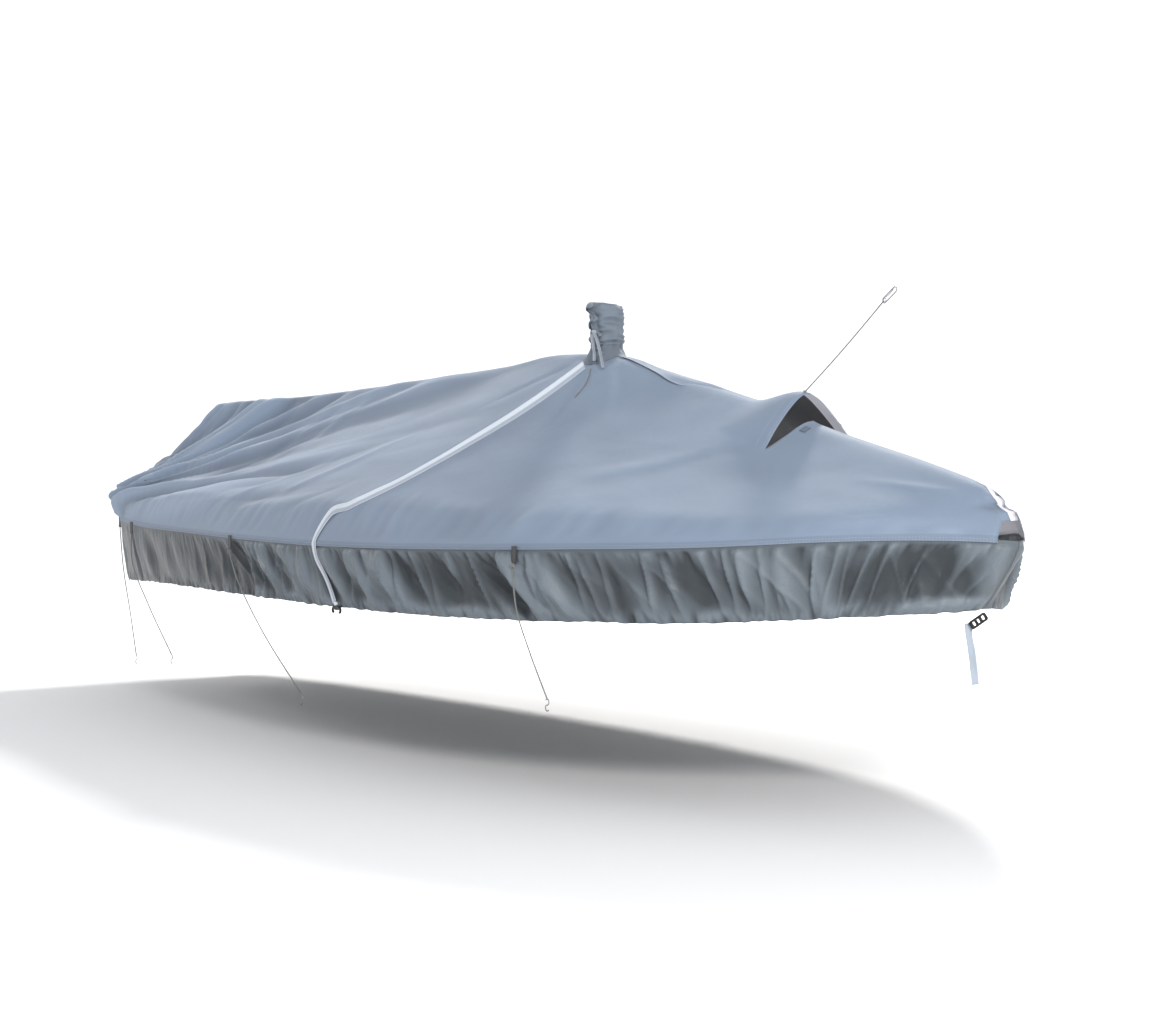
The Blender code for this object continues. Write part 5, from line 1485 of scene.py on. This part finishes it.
# The buckle under the stem: a black moulded ladder buckle on the hem's drawcord, set askew, with the long
# tail of its webbing hanging below.
BUCKLE_AT, BUCKLE_SIZE = (1.605, -0.024, -0.1455), (0.048, 0.012, 0.021)
BUCKLE_TILT, BUCKLE_TURN = math.radians(-35), math.radians(20)
BOW_TAIL_WIDTH = 0.019
BOW_TAIL = (
    (1.578, -0.030, -0.152), (1.582, -0.031, -0.185), (1.590, -0.031, -0.216), (1.603, -0.030, -0.300),
)
# Blocks that the buckle is moulded from: centre and size as shares of the whole, and how far it leans.
BUCKLE_BLOCKS = (
    ((0.02, 0.0, 0.38), (0.90, 0.62, 0.24), 0.0),
    ((0.02, 0.0, -0.38), (0.90, 0.62, 0.24), 0.0),
    ((-0.42, 0.0, 0.0), (0.16, 0.62, 0.90), 0.0),
    ((-0.12, 0.0, 0.0), (0.14, 0.55, 0.92), 12.0),
    ((0.16, 0.02, 0.0), (0.12, 0.60, 0.92), -12.0),
    ((0.46, 0.10, 0.0), (0.14, 0.80, 0.80), 14.0),
)


def ladder_buckle():
    shell = bmesh.new()
    for centre, size, lean in BUCKLE_BLOCKS:
        block = bmesh.ops.create_cube(shell, size=1.0)["verts"]
        bmesh.ops.scale(shell, vec=np.array(BUCKLE_SIZE) * size, verts=block)
        leaning = Matrix.Rotation(math.radians(lean), 3, "Z")
        bmesh.ops.rotate(shell, verts=block, cent=(0, 0, 0), matrix=leaning)
        bmesh.ops.translate(shell, vec=np.array(BUCKLE_SIZE) * centre, verts=block)
    askew = Matrix.Rotation(BUCKLE_TURN, 4, "Z") @ Matrix.Rotation(BUCKLE_TILT, 4, "Y")
    place = Matrix.Translation(from_gunwale([BUCKLE_AT])[0]) @ askew
    bmesh.ops.transform(shell, matrix=place, verts=shell.verts)
    made = formed("ladder_buckle", shell, black_plastic)
    rounded = made.modifiers.new("Rounded edges", "BEVEL")
    rounded.width, rounded.segments = 0.0007, 2
    rounded.harden_normals = True
    return made


dressed(ladder_buckle(), "bow_buckle")
tail, centres = hanging_tape(
    "bow_tail_end", "bow_tail", BOW_TAIL, BOW_TAIL_WIDTH, WEBBING, 0.35, pale_webbing,
)


# The seams: pale thread in a lockstitch, two rows round the lap of the top over the skirts, one along the
# ridge's lap, two along the vent's upper lip and one along its lower lip.
STITCH_PROUD = 0.0003
SEWING_SIZES = {"Pitch": 0.0080, "Stitch length": 0.0052, "Thread width": 0.0009}


def sewing_tree(thread_material):
    """Stitches along a line: evenly spaced points on it, a thread's bump turned along the line at each."""
    tree = bpy.data.node_groups.new("sewing", "GeometryNodeTree")
    tree.interface.new_socket("Line", in_out="INPUT", socket_type="NodeSocketGeometry")
    for name, value in SEWING_SIZES.items():
        tree.interface.new_socket(name, in_out="INPUT", socket_type="NodeSocketFloat").default_value = value
    tree.interface.new_socket("Stitches", in_out="OUTPUT", socket_type="NodeSocketGeometry")
    given = tree.nodes.new("NodeGroupInput").outputs
    line = node(tree, "GeometryNodeMeshToCurve", {"Mesh": given["Line"]}).outputs["Curve"]
    even = tree.nodes.new("GeometryNodeResampleCurve")
    even.mode = "LENGTH"
    tree.links.new(line, even.inputs["Curve"])
    tree.links.new(given["Pitch"], even.inputs["Length"])
    places = node(tree, "GeometryNodeCurveToPoints", {"Curve": even.outputs["Curve"]}, mode="EVALUATED")
    bump = node(tree, "GeometryNodeMeshUVSphere", {"Segments": 6, "Rings": 4, "Radius": 0.5}).outputs["Mesh"]
    wide = given["Thread width"]
    spans = {"X": wide, "Y": wide, "Z": given["Stitch length"]}
    size = node(tree, "ShaderNodeCombineXYZ", spans).outputs["Vector"]
    along = {"Vector": places.outputs["Tangent"]}
    turned = node(tree, "FunctionNodeAlignRotationToVector", along, axis="Z").outputs["Rotation"]
    row = {"Points": places.outputs["Points"], "Instance": bump, "Rotation": turned, "Scale": size}
    stitches = node(tree, "GeometryNodeInstanceOnPoints", row).outputs["Instances"]
    real = node(tree, "GeometryNodeRealizeInstances", {"Geometry": stitches}).outputs["Geometry"]
    done = node(tree, "GeometryNodeSetMaterial", {"Geometry": real, "Material": thread_material})
    tree.links.new(done.outputs["Geometry"], tree.nodes.new("NodeGroupOutput").inputs["Stitches"])
    return tree


def sewn(name, lines):
    """One piece of stitches along the given lines of points."""
    mesh = bpy.data.meshes.new(name)
    points, edges = [], []
    for line in lines:
        edges += [(len(points) + k, len(points) + k + 1) for k in range(len(line) - 1)]
        points += [tuple(p) for p in line]
    mesh.from_pydata(points, edges, [])
    guide = placed(name, mesh)
    stitching = guide.modifiers.new("Sewing", "NODES")
    stitching.node_group = sewing
    sockets = {item.name: item.identifier for item in sewing.interface.items_tree if item.in_out == "INPUT"}
    for socket, value in SEWING_SIZES.items():
        stitching[sockets[socket]] = value
    graph = bpy.context.evaluated_depsgraph_get()
    result = bpy.data.meshes.new_from_object(guide.evaluated_get(graph))
    bpy.data.objects.remove(guide)
    result.name = name
    result.shade_smooth()
    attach(placed(name, result), "root")


def raised_off(line, amount):
    """A line on the cloth, moved out by the given amount."""
    return np.array([np.array(p) + outward(p)[0] * amount for p in line])


sewing = sewing_tree(cord_material("pale thread", (0.46, 0.50, 0.56)))
for side in (STARBOARD, PORT):
    lines = stitched_lines[side]
    along_gunwale = [raised_off(line, STITCH_PROUD) for line in lines["gunwale"]]
    sewn(f"gunwale_stitches_{SIDE_NAMES[side]}", along_gunwale)
    sewn(f"mouth_stitches_{SIDE_NAMES[side]}", [line + (0, 0, STITCH_PROUD) for line in lines["mouth"]])
sewn("ridge_stitches", [line + (0, 0, STITCH_PROUD) for line in stitched_lines[STARBOARD]["ridge"]])
sewn("stern_stitches", [line - (STITCH_PROUD, 0, 0) for line in stern_lines])
